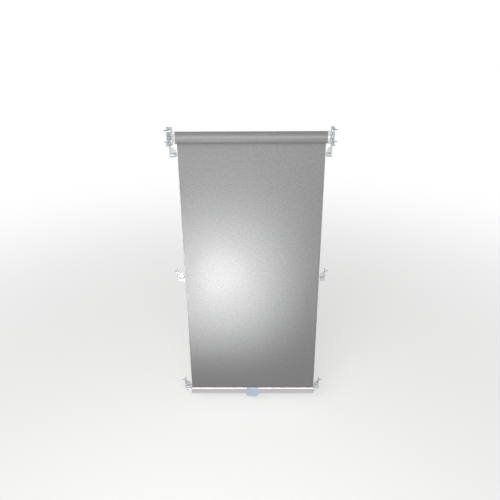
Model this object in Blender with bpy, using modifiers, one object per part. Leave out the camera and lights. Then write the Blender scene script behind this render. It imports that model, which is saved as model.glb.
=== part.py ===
"""Blackout roller blind that hangs between two side walls, in metres.

The frame's origin is the middle of the roller's axis. X runs along the roller, +Z is up and -Y faces
the room. The cloth drops from the back of the roll to a bottom bar, whose pegs catch behind three
pairs of hooks on the walls beside it.
"""
import math

import bmesh
import bpy
from mathutils import Matrix

# Cloth, tube and winding
FABRIC_WIDTH = 0.350
FABRIC_THICKNESS = 0.00045
DROP = 0.741
TUBE_RADIUS = 0.011
TUBE_WALL = 0.001
WRAPS = 2.75
WRAP_GAP = 0.00042
WRAP_FACETS = 36

# Clearances
SEAT_GAP = 0.0003
RUNNING_GAP = 0.0001
PEG_CLEARANCE = 0.0005
PEG_END_CLEARANCE = 0.0020
HOOK_SIDE_CLEARANCE = 0.0008
HUB_CLEARANCE = 0.0017
CUT_OVERRUN = 0.002

# Distances out from the cloth's edge: to each side wall, to a bracket's rim and to its boss
SPRING_SIDE_ROOM = 0.020
IDLE_SIDE_ROOM = 0.016
RIM_ROOM = 0.0085
BOSS_ROOM = 0.010

# End caps of the tube
CAP_PLUG_LENGTH = 0.020
CAP_PLUG_WALL = 0.0015
CAP_WEB = 0.003
CAP_FLANGE_RADIUS = 0.0146
CAP_FLANGE_THICKNESS = 0.0026
CAP_SHOULDER_RADIUS = 0.0125
CAP_NECK_RADIUS = 0.0081
CAP_HUB_RADIUS = 0.0062
IDLE_DISC_THICKNESS = 0.0052
IDLE_DISC_BEVEL = 0.0008

# Brackets
BRACKET_DEPTH = 0.026
BRACKET_HEIGHT = 0.0418
BRACKET_CENTRE_Z = 0.0035
BRACKET_CORNER = 0.009
BRACKET_RIM_WALL = 0.002
BRACKET_FLOOR = 0.0025
BRACKET_BOSS_RADIUS = 0.006
BRACKET_SCREW_INSET = 0.0071
SOCKET_FLOOR = 0.0017

# Spindle, spring and their plugs
SPINDLE_RADIUS = 0.003
SPINDLE_OVERHANG = 0.004
TANG_WIDTH = 0.0025
SPRING_WIRE_RADIUS = 0.0006
SPRING_TURNS = 15
SPRING_INSET = 0.047
SPRING_LENGTH = 0.098
PLUG_LENGTH = 0.012
PLUG_BOSS_LENGTH = 0.009
PLUG_BOSS_RADIUS = 0.0060
ANCHOR_RADIUS = 0.0086

# Sprung pin at the idle end
PIN_RADIUS = 0.003
PIN_TRAVEL = 0.0045
PIN_COLLAR_OVERLAP = 0.0009
PIN_COLLAR_LENGTH = 0.002
PIN_COLLAR_CLEARANCE = 0.0004
PIN_TAIL_RADIUS = 0.0018
PIN_TAIL_LENGTH = 0.0055
PIN_TAIL_CLEARANCE = 0.0005
PIN_SPRING_WIRE_RADIUS = 0.0004
PIN_SPRING_CLEARANCE = 0.0008
PIN_SPRING_TURNS = 6
PIN_SEAT_LENGTH = 0.0025

# Hooks
HOOK_HEIGHT = 0.034
HOOK_PLATE_MARGIN = 0.0018
HOOK_CORNER = 0.0045
HOOK_PLATE = 0.0025
HOOK_WALL = 0.0024
HOOK_SEAT_CLEARANCE = 0.0007
HOOK_NOSE_LENGTH = 0.0045
HOOK_WEB_THICKNESS = 0.004
HOOK_WEB_HEIGHT = 0.0135
HOOK_SCREW_INSET = 0.0072
MIDDLE_HOOK_DROP = 0.385

# Bottom bar
BAR_HEIGHT = 0.0205
BAR_DEPTH = 0.009
BAR_CORNER = 0.0035
BAR_WALL = 0.0011
BAR_CHAMBER_CORNER = 0.0022
BAR_SLOT_CLEARANCE = 0.0004
BAR_LIP = 0.0013
SPLINE_RADIUS = 0.001
HEM_ANGLE = math.radians(290)
BAR_CAP_THICKNESS = 0.0014
BAR_CAP_PLUG_LENGTH = 0.012
PEG_RADIUS = 0.0025
PEG_STEM_RADIUS = 0.0014
PEG_STEM_LENGTH = 0.010

# Pull handle
HANDLE_WIDTH = 0.036
HANDLE_BELOW_BAR = 0.0075
HANDLE_THICKNESS = 0.0026
HANDLE_CORNER = 0.011
HANDLE_TOP_CORNER = 0.002
HANDLE_RIM = 0.0022
HANDLE_RECESS = 0.0006
HANDLE_CLIP_WIDTH = 0.030
HANDLE_CLIP_WALL = 0.002
HANDLE_CLIP_HEIGHT = 0.010

# Wood screws
SCREW_HEAD_RADIUS = 0.0029
SCREW_SHANK_RADIUS = 0.0015
SCREW_HEAD_HEIGHT = 0.0016
SCREW_LENGTH = 0.011
SCREW_POINT = 0.003
SCREW_RECESS_LENGTH = 0.0034
SCREW_RECESS_WIDTH = 0.0008
SCREW_RECESS_DEPTH = 0.0010

# Facets round a turned piece
FINE_STEPS = 36
PLAIN_STEPS = 24
SMALL_STEPS = 16
SPRING_POINTS_PER_TURN = 8

# Sizes that follow from the ones above
WRAP_PITCH = FABRIC_THICKNESS + WRAP_GAP
ROLL_CORE = TUBE_RADIUS + SEAT_GAP + FABRIC_THICKNESS / 2
SHEET_Y = ROLL_CORE + WRAPS * WRAP_PITCH
HALF_WIDTH = FABRIC_WIDTH / 2
WALL_X = {-1: HALF_WIDTH + SPRING_SIDE_ROOM, 1: HALF_WIDTH + IDLE_SIDE_ROOM}
CAP_PLUG_RADIUS = TUBE_RADIUS - TUBE_WALL - SEAT_GAP

BRACKET_LOW_Z = BRACKET_CENTRE_Z - BRACKET_HEIGHT / 2
BRACKET_HIGH_Z = BRACKET_CENTRE_Z + BRACKET_HEIGHT / 2
RIM_FACE_X = HALF_WIDTH + RIM_ROOM
BOSS_FACE_X = HALF_WIDTH + BOSS_ROOM
HUB_FACE_X = BOSS_FACE_X - HUB_CLEARANCE
TANG_TIP_X = WALL_X[-1] - SOCKET_FLOOR - SEAT_GAP

CHORD_FACTOR = math.cos(math.pi / SPRING_POINTS_PER_TURN)
SPRING_RADIUS = (PLUG_BOSS_RADIUS + SEAT_GAP + SPRING_WIRE_RADIUS) / CHORD_FACTOR
SPRING_START_X = -HALF_WIDTH + SPRING_INSET
SPRING_END_X = SPRING_START_X + SPRING_LENGTH
ANCHOR_SEAT_X = SPRING_START_X - SPRING_WIRE_RADIUS - SEAT_GAP
DRIVER_SEAT_X = SPRING_END_X + SPRING_WIRE_RADIUS + SEAT_GAP
SPINDLE_END_X = DRIVER_SEAT_X + PLUG_LENGTH + SPINDLE_OVERHANG

PIN_TIP_X = WALL_X[1] - SOCKET_FLOOR - SEAT_GAP
PIN_SHOULDER_X = HALF_WIDTH - CAP_WEB
PIN_COLLAR_X = PIN_SHOULDER_X - SEAT_GAP
PIN_COLLAR_BACK_X = PIN_COLLAR_X - PIN_COLLAR_LENGTH
PIN_SPRING_RADIUS = (PIN_TAIL_RADIUS + PIN_SPRING_CLEARANCE + PIN_SPRING_WIRE_RADIUS) / CHORD_FACTOR
PIN_COLLAR_RADIUS = PIN_SPRING_RADIUS + PIN_SPRING_WIRE_RADIUS + PIN_COLLAR_OVERLAP
PIN_POCKET_RADIUS = PIN_COLLAR_RADIUS + PIN_COLLAR_CLEARANCE
PIN_SPRING_START_X = PIN_COLLAR_BACK_X - SEAT_GAP - PIN_SPRING_WIRE_RADIUS
PIN_SPRING_END_X = PIN_SPRING_START_X - PIN_TAIL_LENGTH - PIN_TRAVEL - PIN_TAIL_CLEARANCE
PIN_SEAT_X = PIN_SPRING_END_X - PIN_SPRING_WIRE_RADIUS - SEAT_GAP
IDLE_PLUG_LENGTH = HALF_WIDTH - PIN_SEAT_X + PIN_SEAT_LENGTH + SEAT_GAP

HEM_RADIUS = SPLINE_RADIUS + SEAT_GAP + FABRIC_THICKNESS / 2
HEM_POCKET_RADIUS = HEM_RADIUS + FABRIC_THICKNESS / 2 + SEAT_GAP
BAR_TOP_Z = -DROP + BAR_HEIGHT / 2
BAR_BOTTOM_Z = -DROP - BAR_HEIGHT / 2
HEM_Z = BAR_TOP_Z - BAR_LIP - HEM_POCKET_RADIUS
CHAMBER_TOP_Z = HEM_Z - HEM_POCKET_RADIUS - BAR_WALL
CHAMBER_BOTTOM_Z = BAR_BOTTOM_Z + BAR_WALL
BAR_CAP_BACK_X = HALF_WIDTH + SEAT_GAP
BAR_CAP_FACE_X = BAR_CAP_BACK_X + BAR_CAP_THICKNESS

HOOK_INNER_X = BAR_CAP_FACE_X + HOOK_SIDE_CLEARANCE
HOOK_FRONT_Y = SHEET_Y + PEG_RADIUS + PEG_CLEARANCE
HOOK_SEAT_RADIUS = PEG_RADIUS + HOOK_SEAT_CLEARANCE
HOOK_CLAW_RADIUS = HOOK_SEAT_RADIUS + HOOK_WALL
HOOK_BACK_Y = HOOK_FRONT_Y + 2 * HOOK_CLAW_RADIUS + HOOK_PLATE_MARGIN
TOP_HOOK_TIP_Z = BRACKET_LOW_Z - SEAT_GAP - HOOK_HEIGHT
MIDDLE_HOOK_TIP_Z = -MIDDLE_HOOK_DROP
BOTTOM_HOOK_TIP_Z = -DROP + PEG_RADIUS + PEG_CLEARANCE

# Local axes of an outline drawn in the YZ plane and of one drawn in the XZ plane
ACROSS_X = Matrix(((0, 0, 1, 0), (1, 0, 0, 0), (0, 1, 0, 0), (0, 0, 0, 1)))
ACROSS_Y = Matrix(((1, 0, 0, 0), (0, 0, -1, 0), (0, 1, 0, 0), (0, 0, 0, 1)))

for leftover in list(bpy.data.objects):
    bpy.data.objects.remove(leftover, do_unlink=True)

PARTS = bpy.data.collections.new("blackout_roller_blind")
CUTTERS = bpy.data.collections.new("cutters")
bpy.context.scene.collection.children.link(PARTS)
bpy.context.scene.collection.children.link(CUTTERS)


def make_material(name, colour, roughness, metallic=0.0, transmission=0.0):
    material = bpy.data.materials.new(name)
    material.use_nodes = True
    shader = material.node_tree.nodes["Principled BSDF"]
    shader.inputs["Base Color"].default_value = (*colour, 1.0)
    shader.inputs["Roughness"].default_value = roughness
    shader.inputs["Metallic"].default_value = metallic
    shader.inputs["Transmission Weight"].default_value = transmission
    material.diffuse_color = (*colour, 1.0)
    return material


CLEAR_PLASTIC = make_material("clear_plastic", (0.86, 0.88, 0.90), 0.08, transmission=0.9)
WHITE_PLASTIC = make_material("white_plastic", (0.85, 0.84, 0.80), 0.35)
GREY_PLASTIC = make_material("grey_plastic", (0.25, 0.26, 0.27), 0.45)
BLUE_PLASTIC = make_material("pale_blue_plastic", (0.42, 0.56, 0.70), 0.30)
CLOTH = make_material("blackout_cloth", (0.32, 0.32, 0.32), 0.75)
ALUMINIUM = make_material("aluminium", (0.72, 0.71, 0.73), 0.28, metallic=1.0)
ZINC = make_material("zinc_plated_steel", (0.62, 0.63, 0.64), 0.32, metallic=1.0)
SPRING_STEEL = make_material("spring_steel", (0.30, 0.31, 0.33), 0.35, metallic=1.0)


def axis_empty(name, location):
    """An empty on a joint's axis, which the moving pieces hang from."""
    empty = bpy.data.objects.new(name, None)
    empty.location = location
    PARTS.objects.link(empty)
    return empty


ROLLER_AXIS = axis_empty("roller_axis", (0, 0, 0))
SHEET_AXIS = axis_empty("sheet_axis", (0, SHEET_Y, 0))
BAR_SLIDE = axis_empty("bar_slide", (0, SHEET_Y, -DROP))
PIN_SLIDE = axis_empty("pin_slide", (PIN_SHOULDER_X, 0, 0))
bpy.context.view_layer.update()


def place(obj, matrix, material=None, parent=None):
    """Put an object in the parts, or in the cutters where it has no material."""
    if material is None:
        CUTTERS.objects.link(obj)
        obj.hide_render = True
        obj.display_type = "WIRE"
    else:
        PARTS.objects.link(obj)
        obj.data.materials.append(material)
    if parent is not None:
        obj.parent = parent
        obj.matrix_parent_inverse = parent.matrix_world.inverted()
    obj.matrix_world = matrix
    return obj


def smooth(mesh):
    mesh.shade_smooth()
    mesh.set_sharp_from_angle(angle=math.radians(35))


def mesh_of(source, name):
    """A closed mesh of an object as it is evaluated; the object is then removed."""
    bpy.context.scene.collection.objects.link(source)
    bpy.context.view_layer.update()
    graph = bpy.context.evaluated_depsgraph_get()
    mesh = bpy.data.meshes.new_from_object(source.evaluated_get(graph))
    mesh.name = name
    mesh.materials.clear()
    data = bmesh.new()
    data.from_mesh(mesh)
    bmesh.ops.remove_doubles(data, verts=data.verts, dist=0.000001)
    bmesh.ops.recalc_face_normals(data, faces=data.faces)
    data.to_mesh(mesh)
    data.free()
    bpy.data.objects.remove(source, do_unlink=True)
    return mesh


def extruded(name, outlines, thickness, matrix, material=None, parent=None):
    """A flat outline, with any holes as further loops, given a thickness about its own plane."""
    curve = bpy.data.curves.new(name, "CURVE")
    curve.dimensions = "2D"
    curve.fill_mode = "BOTH"
    curve.extrude = thickness / 2
    for outline in outlines:
        spline = curve.splines.new("POLY")
        spline.points.add(len(outline) - 1)
        for point, (u, v) in zip(spline.points, outline):
            point.co = (u, v, 0, 1)
        spline.use_cyclic_u = True
    mesh = mesh_of(bpy.data.objects.new(name, curve), name)
    smooth(mesh)
    return place(bpy.data.objects.new(name, mesh), matrix, material, parent)


def turned(name, profile, side, steps, material=None, parent=None, centre=(0, 0)):
    """A piece turned about the X direction; the profile holds (distance along side * X, radius)."""
    mesh = bpy.data.meshes.new(name)
    data = bmesh.new()
    points = [data.verts.new((radius, 0, along)) for along, radius in profile]
    for start, end in zip(points, points[1:]):
        data.edges.new((start, end))
    if profile[0][1] > 0:
        data.edges.new((points[-1], points[0]))
    data.to_mesh(mesh)
    data.free()
    source = bpy.data.objects.new(name, mesh)
    screw = source.modifiers.new("turn", "SCREW")
    screw.axis = "Z"
    screw.steps = steps
    screw.render_steps = steps
    screw.use_merge_vertices = True
    screw.merge_threshold = 0.00001
    solid = mesh_of(source, name)
    smooth(solid)
    turn = Matrix.Rotation(side * math.pi / 2, 4, "Y")
    matrix = Matrix.Translation((0, *centre)) @ turn
    return place(bpy.data.objects.new(name, solid), matrix, material, parent)


def box(name, low, high, material=None, parent=None):
    mesh = bpy.data.meshes.new(name)
    data = bmesh.new()
    bmesh.ops.create_cube(data, size=1)
    size = [b - a for a, b in zip(low, high)]
    middle = [(a + b) / 2 for a, b in zip(low, high)]
    bmesh.ops.scale(data, vec=size, verts=data.verts)
    data.to_mesh(mesh)
    data.free()
    return place(bpy.data.objects.new(name, mesh), Matrix.Translation(middle), material, parent)


def combine(target, tool, operation):
    boolean = target.modifiers.new(tool.name, "BOOLEAN")
    boolean.operation = operation
    boolean.object = tool


def coil(name, radius, wire, turns, start_x, end_x, material, parent=None):
    """A helical spring about the X axis, as one unbroken tube."""
    count = turns * SPRING_POINTS_PER_TURN
    curve = bpy.data.curves.new(name, "CURVE")
    curve.dimensions = "3D"
    curve.bevel_depth = wire
    curve.bevel_resolution = 1
    curve.use_fill_caps = True
    spline = curve.splines.new("POLY")
    spline.points.add(count)
    for index, point in enumerate(spline.points):
        angle = math.tau * index / SPRING_POINTS_PER_TURN
        along = start_x + (end_x - start_x) * index / count
        point.co = (along, radius * math.cos(angle), radius * math.sin(angle), 1)
    gap = abs(end_x - start_x) / turns - 2 * wire
    print(name, "least gap between turns", round(gap * 1000, 2), "mm")
    mesh = mesh_of(bpy.data.objects.new(name, curve), name)
    smooth(mesh)
    return place(bpy.data.objects.new(name, mesh), Matrix.Identity(4), material, parent)


def arc(centre, radius, start, end, steps):
    """Points along an arc, with angles in radians and both ends included."""
    angles = [start + (end - start) * index / steps for index in range(steps + 1)]
    return [(centre[0] + radius * math.cos(a), centre[1] + radius * math.sin(a)) for a in angles]


def rounded_rectangle(low, high, radius, steps=4):
    quarter = math.pi / 2
    corners = (
        (high[0] - radius, high[1] - radius),
        (low[0] + radius, high[1] - radius),
        (low[0] + radius, low[1] + radius),
        (high[0] - radius, low[1] + radius),
    )
    points = []
    for index, centre in enumerate(corners):
        points += arc(centre, radius, index * quarter, (index + 1) * quarter, steps)
    return points


def strip_outline(path, thickness):
    """The closed outline of a thin strip that follows a path of points."""
    left = []
    right = []
    last = len(path) - 1
    for index, (u, v) in enumerate(path):
        before = path[max(index - 1, 0)]
        after = path[min(index + 1, last)]
        length = math.hypot(after[0] - before[0], after[1] - before[1])
        across_u = -(after[1] - before[1]) / length * thickness / 2
        across_v = (after[0] - before[0]) / length * thickness / 2
        left.append((u + across_u, v + across_v))
        right.append((u - across_u, v - across_v))
    return left + right[::-1]


def at_x(centre_x):
    return Matrix.Translation((centre_x, 0, 0)) @ ACROSS_X


def make_tube():
    inner = TUBE_RADIUS - TUBE_WALL
    profile = (
        (HALF_WIDTH, TUBE_RADIUS),
        (-HALF_WIDTH, TUBE_RADIUS),
        (-HALF_WIDTH, inner),
        (HALF_WIDTH, inner),
    )
    turned("roller_tube", profile, 1, FINE_STEPS, ALUMINIUM, ROLLER_AXIS)


def make_winding():
    """The cloth left on the tube: one spiral strip, from its outer end at the back inwards."""
    count = round(WRAPS * WRAP_FACETS)
    path = []
    for index in range(count + 1):
        angle = math.tau * index / WRAP_FACETS
        radius = SHEET_Y - WRAP_PITCH * angle / math.tau
        path.append((radius * math.cos(angle), radius * math.sin(angle)))
    gaps = []
    for outer, inner in zip(path, path[WRAP_FACETS:]):
        gaps.append(math.dist(outer, inner) * math.cos(math.pi / WRAP_FACETS) - FABRIC_THICKNESS)
    print("fabric_roll least gap between wraps", round(min(gaps) * 1000, 3), "mm")
    outline = strip_outline(path, FABRIC_THICKNESS)
    extruded("fabric_roll", [outline], FABRIC_WIDTH, at_x(0), CLOTH, ROLLER_AXIS)


def cap_profile(flange, plug_length, hollow_radius, bore_radius):
    """A cap that plugs the tube's end, from its hub over its flange to its plug and back up its bore."""
    flange_back = HALF_WIDTH + SEAT_GAP
    plug_end = HALF_WIDTH - plug_length
    return (
        (HUB_FACE_X, bore_radius),
        (HUB_FACE_X, CAP_HUB_RADIUS),
        *((flange_back + along, radius) for along, radius in flange),
        (flange_back, CAP_FLANGE_RADIUS),
        (flange_back, CAP_PLUG_RADIUS),
        (plug_end, CAP_PLUG_RADIUS),
        (plug_end, hollow_radius),
        (HALF_WIDTH - CAP_WEB, hollow_radius),
        (HALF_WIDTH - CAP_WEB, bore_radius),
    )


def make_end_caps():
    """The drive end's cap is a dome and the idle end's a flat disc."""
    hollow = CAP_PLUG_RADIUS - CAP_PLUG_WALL
    hub_height = HUB_FACE_X - HALF_WIDTH - SEAT_GAP
    dome = (
        ((hub_height + CAP_FLANGE_THICKNESS) / 2, CAP_NECK_RADIUS),
        (CAP_FLANGE_THICKNESS, CAP_SHOULDER_RADIUS),
        (CAP_FLANGE_THICKNESS / 2, CAP_FLANGE_RADIUS),
    )
    drive = cap_profile(dome, CAP_PLUG_LENGTH, hollow, SPINDLE_RADIUS + RUNNING_GAP)
    turned("drive_end_cap", drive, -1, FINE_STEPS, WHITE_PLASTIC, ROLLER_AXIS)
    disc = (
        (IDLE_DISC_THICKNESS, CAP_HUB_RADIUS),
        (IDLE_DISC_THICKNESS, CAP_FLANGE_RADIUS - IDLE_DISC_BEVEL),
        (IDLE_DISC_THICKNESS - IDLE_DISC_BEVEL, CAP_FLANGE_RADIUS),
    )
    idle = cap_profile(disc, IDLE_PLUG_LENGTH, PIN_POCKET_RADIUS, PIN_RADIUS + RUNNING_GAP)
    turned("idle_end_cap", idle, 1, FINE_STEPS, WHITE_PLASTIC, ROLLER_AXIS)


def make_spindle():
    """The fixed rod inside the tube, milled to a flat tang where the left bracket holds it."""
    end = -SPINDLE_END_X
    profile = ((TANG_TIP_X, 0), (TANG_TIP_X, SPINDLE_RADIUS), (end, SPINDLE_RADIUS), (end, 0))
    spindle = turned("spring_spindle", profile, -1, FINE_STEPS, ZINC)
    beyond = SPINDLE_RADIUS * 2
    for side in (-1, 1):
        faces = sorted((side * TANG_WIDTH / 2, side * beyond))
        low = (-TANG_TIP_X - beyond, faces[0], -beyond)
        high = (-HUB_FACE_X, faces[1], beyond)
        combine(spindle, box(f"tang_flat_{side}", low, high), "DIFFERENCE")


def make_spring_motor():
    bore = SPINDLE_RADIUS + SEAT_GAP
    seat = ANCHOR_SEAT_X
    profile = (
        (seat + PLUG_BOSS_LENGTH, bore),
        (seat + PLUG_BOSS_LENGTH, PLUG_BOSS_RADIUS),
        (seat, PLUG_BOSS_RADIUS),
        (seat, ANCHOR_RADIUS),
        (seat - PLUG_LENGTH, ANCHOR_RADIUS),
        (seat - PLUG_LENGTH, bore),
    )
    turned("spring_anchor", profile, 1, PLAIN_STEPS, GREY_PLASTIC)
    bore = SPINDLE_RADIUS + RUNNING_GAP
    seat = -DRIVER_SEAT_X
    profile = (
        (seat + PLUG_BOSS_LENGTH, bore),
        (seat + PLUG_BOSS_LENGTH, PLUG_BOSS_RADIUS),
        (seat, PLUG_BOSS_RADIUS),
        (seat, CAP_PLUG_RADIUS),
        (seat - PLUG_LENGTH, CAP_PLUG_RADIUS),
        (seat - PLUG_LENGTH, bore),
    )
    turned("spring_driver", profile, -1, FINE_STEPS, GREY_PLASTIC, ROLLER_AXIS)
    coil("torsion_spring", SPRING_RADIUS, SPRING_WIRE_RADIUS, SPRING_TURNS,
         SPRING_START_X, SPRING_END_X, SPRING_STEEL)


def make_idle_pin():
    """The sprung pin that clicks into the right bracket, its spring and the seat behind it."""
    tip_round = PIN_RADIUS / 3
    profile = (
        (PIN_TIP_X, 0),
        (PIN_TIP_X, PIN_RADIUS - tip_round),
        (PIN_TIP_X - tip_round, PIN_RADIUS),
        (PIN_COLLAR_X, PIN_RADIUS),
        (PIN_COLLAR_X, PIN_COLLAR_RADIUS),
        (PIN_COLLAR_BACK_X, PIN_COLLAR_RADIUS),
        (PIN_COLLAR_BACK_X, PIN_TAIL_RADIUS),
        (PIN_COLLAR_BACK_X - PIN_TAIL_LENGTH, PIN_TAIL_RADIUS),
        (PIN_COLLAR_BACK_X - PIN_TAIL_LENGTH, 0),
    )
    turned("idle_pin", profile, 1, FINE_STEPS, WHITE_PLASTIC, PIN_SLIDE)
    coil("pin_spring", PIN_SPRING_RADIUS, PIN_SPRING_WIRE_RADIUS, PIN_SPRING_TURNS,
         PIN_SPRING_START_X, PIN_SPRING_END_X, SPRING_STEEL, ROLLER_AXIS)
    seat_radius = PIN_POCKET_RADIUS - SEAT_GAP
    profile = (
        (PIN_SEAT_X, 0),
        (PIN_SEAT_X, seat_radius),
        (PIN_SEAT_X - PIN_SEAT_LENGTH, seat_radius),
        (PIN_SEAT_X - PIN_SEAT_LENGTH, 0),
    )
    turned("pin_spring_seat", profile, 1, PLAIN_STEPS, WHITE_PLASTIC, ROLLER_AXIS)


def screw_hole(name, face_x, centre, side):
    """A countersunk hole through a plate, wider than its screw all round by the seat gap."""
    wide = SCREW_HEAD_RADIUS + SEAT_GAP
    narrow = SCREW_SHANK_RADIUS + SEAT_GAP
    profile = (
        (WALL_X[side] + CUT_OVERRUN, 0),
        (WALL_X[side] + CUT_OVERRUN, narrow),
        (face_x + SCREW_HEAD_HEIGHT, narrow),
        (face_x, wide),
        (face_x - CUT_OVERRUN, wide),
        (face_x - CUT_OVERRUN, 0),
    )
    return turned(name, profile, side, SMALL_STEPS, centre=centre)


def screw_mesh():
    """One countersunk wood screw with its head's face at the origin, pointing along +X."""
    profile = (
        (SCREW_LENGTH, 0),
        (SCREW_LENGTH - SCREW_POINT, SCREW_SHANK_RADIUS),
        (SCREW_HEAD_HEIGHT, SCREW_SHANK_RADIUS),
        (0, SCREW_HEAD_RADIUS),
        (0, 0),
    )
    blank = turned("screw_blank", profile, 1, SMALL_STEPS)
    long_half = SCREW_RECESS_LENGTH / 2
    short_half = SCREW_RECESS_WIDTH / 2
    for name, half_y, half_z in (("upright", short_half, long_half), ("level", long_half, short_half)):
        low = (-SCREW_RECESS_DEPTH, -half_y, -half_z)
        high = (SCREW_RECESS_DEPTH, half_y, half_z)
        combine(blank, box(f"recess_{name}", low, high), "DIFFERENCE")
    bpy.context.view_layer.update()
    graph = bpy.context.evaluated_depsgraph_get()
    mesh = bpy.data.meshes.new_from_object(blank.evaluated_get(graph))
    mesh.name = "wood_screw"
    mesh.transform(blank.matrix_world)
    mesh.materials.clear()
    mesh.materials.append(ZINC)
    bpy.data.objects.remove(blank, do_unlink=True)
    return mesh


def place_screw(name, mesh, face_x, centre, side):
    obj = bpy.data.objects.new(name, mesh)
    PARTS.objects.link(obj)
    turn = Matrix.Rotation(0 if side > 0 else math.pi, 4, "Z")
    obj.matrix_world = Matrix.Translation((side * face_x, *centre)) @ turn


def make_bracket(word, side, screw):
    """A clear tray on a side wall, with a boss that holds the roller's end."""
    half_depth = BRACKET_DEPTH / 2
    low_z = BRACKET_LOW_Z
    high_z = BRACKET_HIGH_Z
    outline = rounded_rectangle((-half_depth, low_z), (half_depth, high_z), BRACKET_CORNER, 6)
    face_x = WALL_X[side] - BRACKET_FLOOR
    rim_height = WALL_X[side] - RIM_FACE_X
    centre_x = side * (WALL_X[side] + RIM_FACE_X) / 2
    bracket = extruded(f"bracket_{word}", [outline], rim_height, at_x(centre_x), CLEAR_PLASTIC)
    wall = BRACKET_RIM_WALL
    hollow = rounded_rectangle(
        (-half_depth + wall, low_z + wall), (half_depth - wall, high_z - wall), BRACKET_CORNER - wall, 6
    )
    hollow_x = side * (face_x - rim_height / 2)
    combine(bracket, extruded(f"tray_{word}", [hollow], rim_height, at_x(hollow_x)), "DIFFERENCE")
    inside_floor = face_x + BRACKET_FLOOR / 2
    boss = (
        (inside_floor, 0),
        (inside_floor, BRACKET_BOSS_RADIUS),
        (BOSS_FACE_X, BRACKET_BOSS_RADIUS),
        (BOSS_FACE_X, 0),
    )
    combine(bracket, turned(f"boss_{word}", boss, side, PLAIN_STEPS), "UNION")
    heights = (high_z - BRACKET_SCREW_INSET, low_z + BRACKET_SCREW_INSET)
    for index, height in enumerate(heights, start=1):
        hole = screw_hole(f"bracket_{word}_hole_{index}", face_x, (0, height), side)
        combine(bracket, hole, "DIFFERENCE")
        name = f"bracket_screw_{word}_{index}"
        place_screw(name, screw, face_x, (0, height), side)
    return bracket


def make_brackets(screw):
    left = make_bracket("left", -1, screw)
    half_slot = TANG_WIDTH / 2 + SEAT_GAP
    half_tall = SPINDLE_RADIUS + SEAT_GAP
    before = BOSS_FACE_X - CUT_OVERRUN
    deep = WALL_X[-1] - SOCKET_FLOOR
    slot = box("tang_slot", (-deep, -half_slot, -half_tall), (-before, half_slot, half_tall))
    combine(left, slot, "DIFFERENCE")
    right = make_bracket("right", 1, screw)
    bore = PIN_RADIUS + RUNNING_GAP
    deep = WALL_X[1] - SOCKET_FLOOR
    profile = ((deep, 0), (deep, bore), (before, bore), (before, 0))
    combine(right, turned("pin_bore", profile, 1, FINE_STEPS), "DIFFERENCE")


def make_hook(level, tip_z, word, side, screw):
    """A clear hook on a side wall; the bar's peg rises behind its nose."""
    top_z = tip_z + HOOK_HEIGHT
    name = f"hook_{level}_{word}"
    plate = rounded_rectangle((HOOK_FRONT_Y, tip_z), (HOOK_BACK_Y, top_z), HOOK_CORNER)
    face_x = WALL_X[side] - HOOK_PLATE
    centre_x = side * (face_x + HOOK_PLATE / 2)
    hook = extruded(name, [plate], HOOK_PLATE, at_x(centre_x), CLEAR_PLASTIC)
    outer = HOOK_CLAW_RADIUS
    middle = (HOOK_FRONT_Y + outer, tip_z + HOOK_NOSE_LENGTH)
    lip = HOOK_WALL / 2
    nose = arc((HOOK_FRONT_Y + lip, tip_z + lip), lip, math.pi, math.tau, 4)
    heel = arc((HOOK_FRONT_Y + 2 * outer - lip, tip_z + lip), lip, math.pi, math.tau, 4)
    claw = nose + arc(middle, HOOK_SEAT_RADIUS, math.pi, 0, 10) + heel + arc(middle, outer, 0, math.pi, 12)
    claw_root = face_x + HOOK_PLATE / 2
    length = claw_root - HOOK_INNER_X
    claw_x = side * (HOOK_INNER_X + claw_root) / 2
    combine(hook, extruded(f"{name}_claw", [claw], length, at_x(claw_x)), "UNION")
    reach = claw_root - HOOK_INNER_X - HOOK_WALL / 2
    web_low = tip_z + HOOK_NOSE_LENGTH + outer - HOOK_WALL / 2
    bow = arc((0, 0), 1, 0, math.pi / 2, 6)
    web = [(0, 0)] + [(-side * reach * u, HOOK_WEB_HEIGHT * v) for u, v in bow]
    web_place = Matrix.Translation((side * claw_root, middle[0], web_low)) @ ACROSS_Y
    combine(hook, extruded(f"{name}_web", [web], HOOK_WEB_THICKNESS, web_place), "UNION")
    centre = ((HOOK_FRONT_Y + HOOK_BACK_Y) / 2, top_z - HOOK_SCREW_INSET)
    combine(hook, screw_hole(f"{name}_hole", face_x, centre, side), "DIFFERENCE")
    place_screw(f"hook_screw_{level}_{word}", screw, face_x, centre, side)


def make_sheet():
    """The hanging cloth, with its hem turned back round the spline inside the bar."""
    hem_centre = (SHEET_Y - HEM_RADIUS, HEM_Z)
    path = [(SHEET_Y, -SEAT_GAP)] + arc(hem_centre, HEM_RADIUS, 0, -HEM_ANGLE, 20)
    outline = strip_outline(path, FABRIC_THICKNESS)
    extruded("blackout_fabric", [outline], FABRIC_WIDTH, at_x(0), CLOTH, SHEET_AXIS)


def bar_outline(inset, low_z, high_z, corner):
    half = BAR_DEPTH / 2 - inset
    return rounded_rectangle((SHEET_Y - half, low_z), (SHEET_Y + half, high_z), corner)


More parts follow.
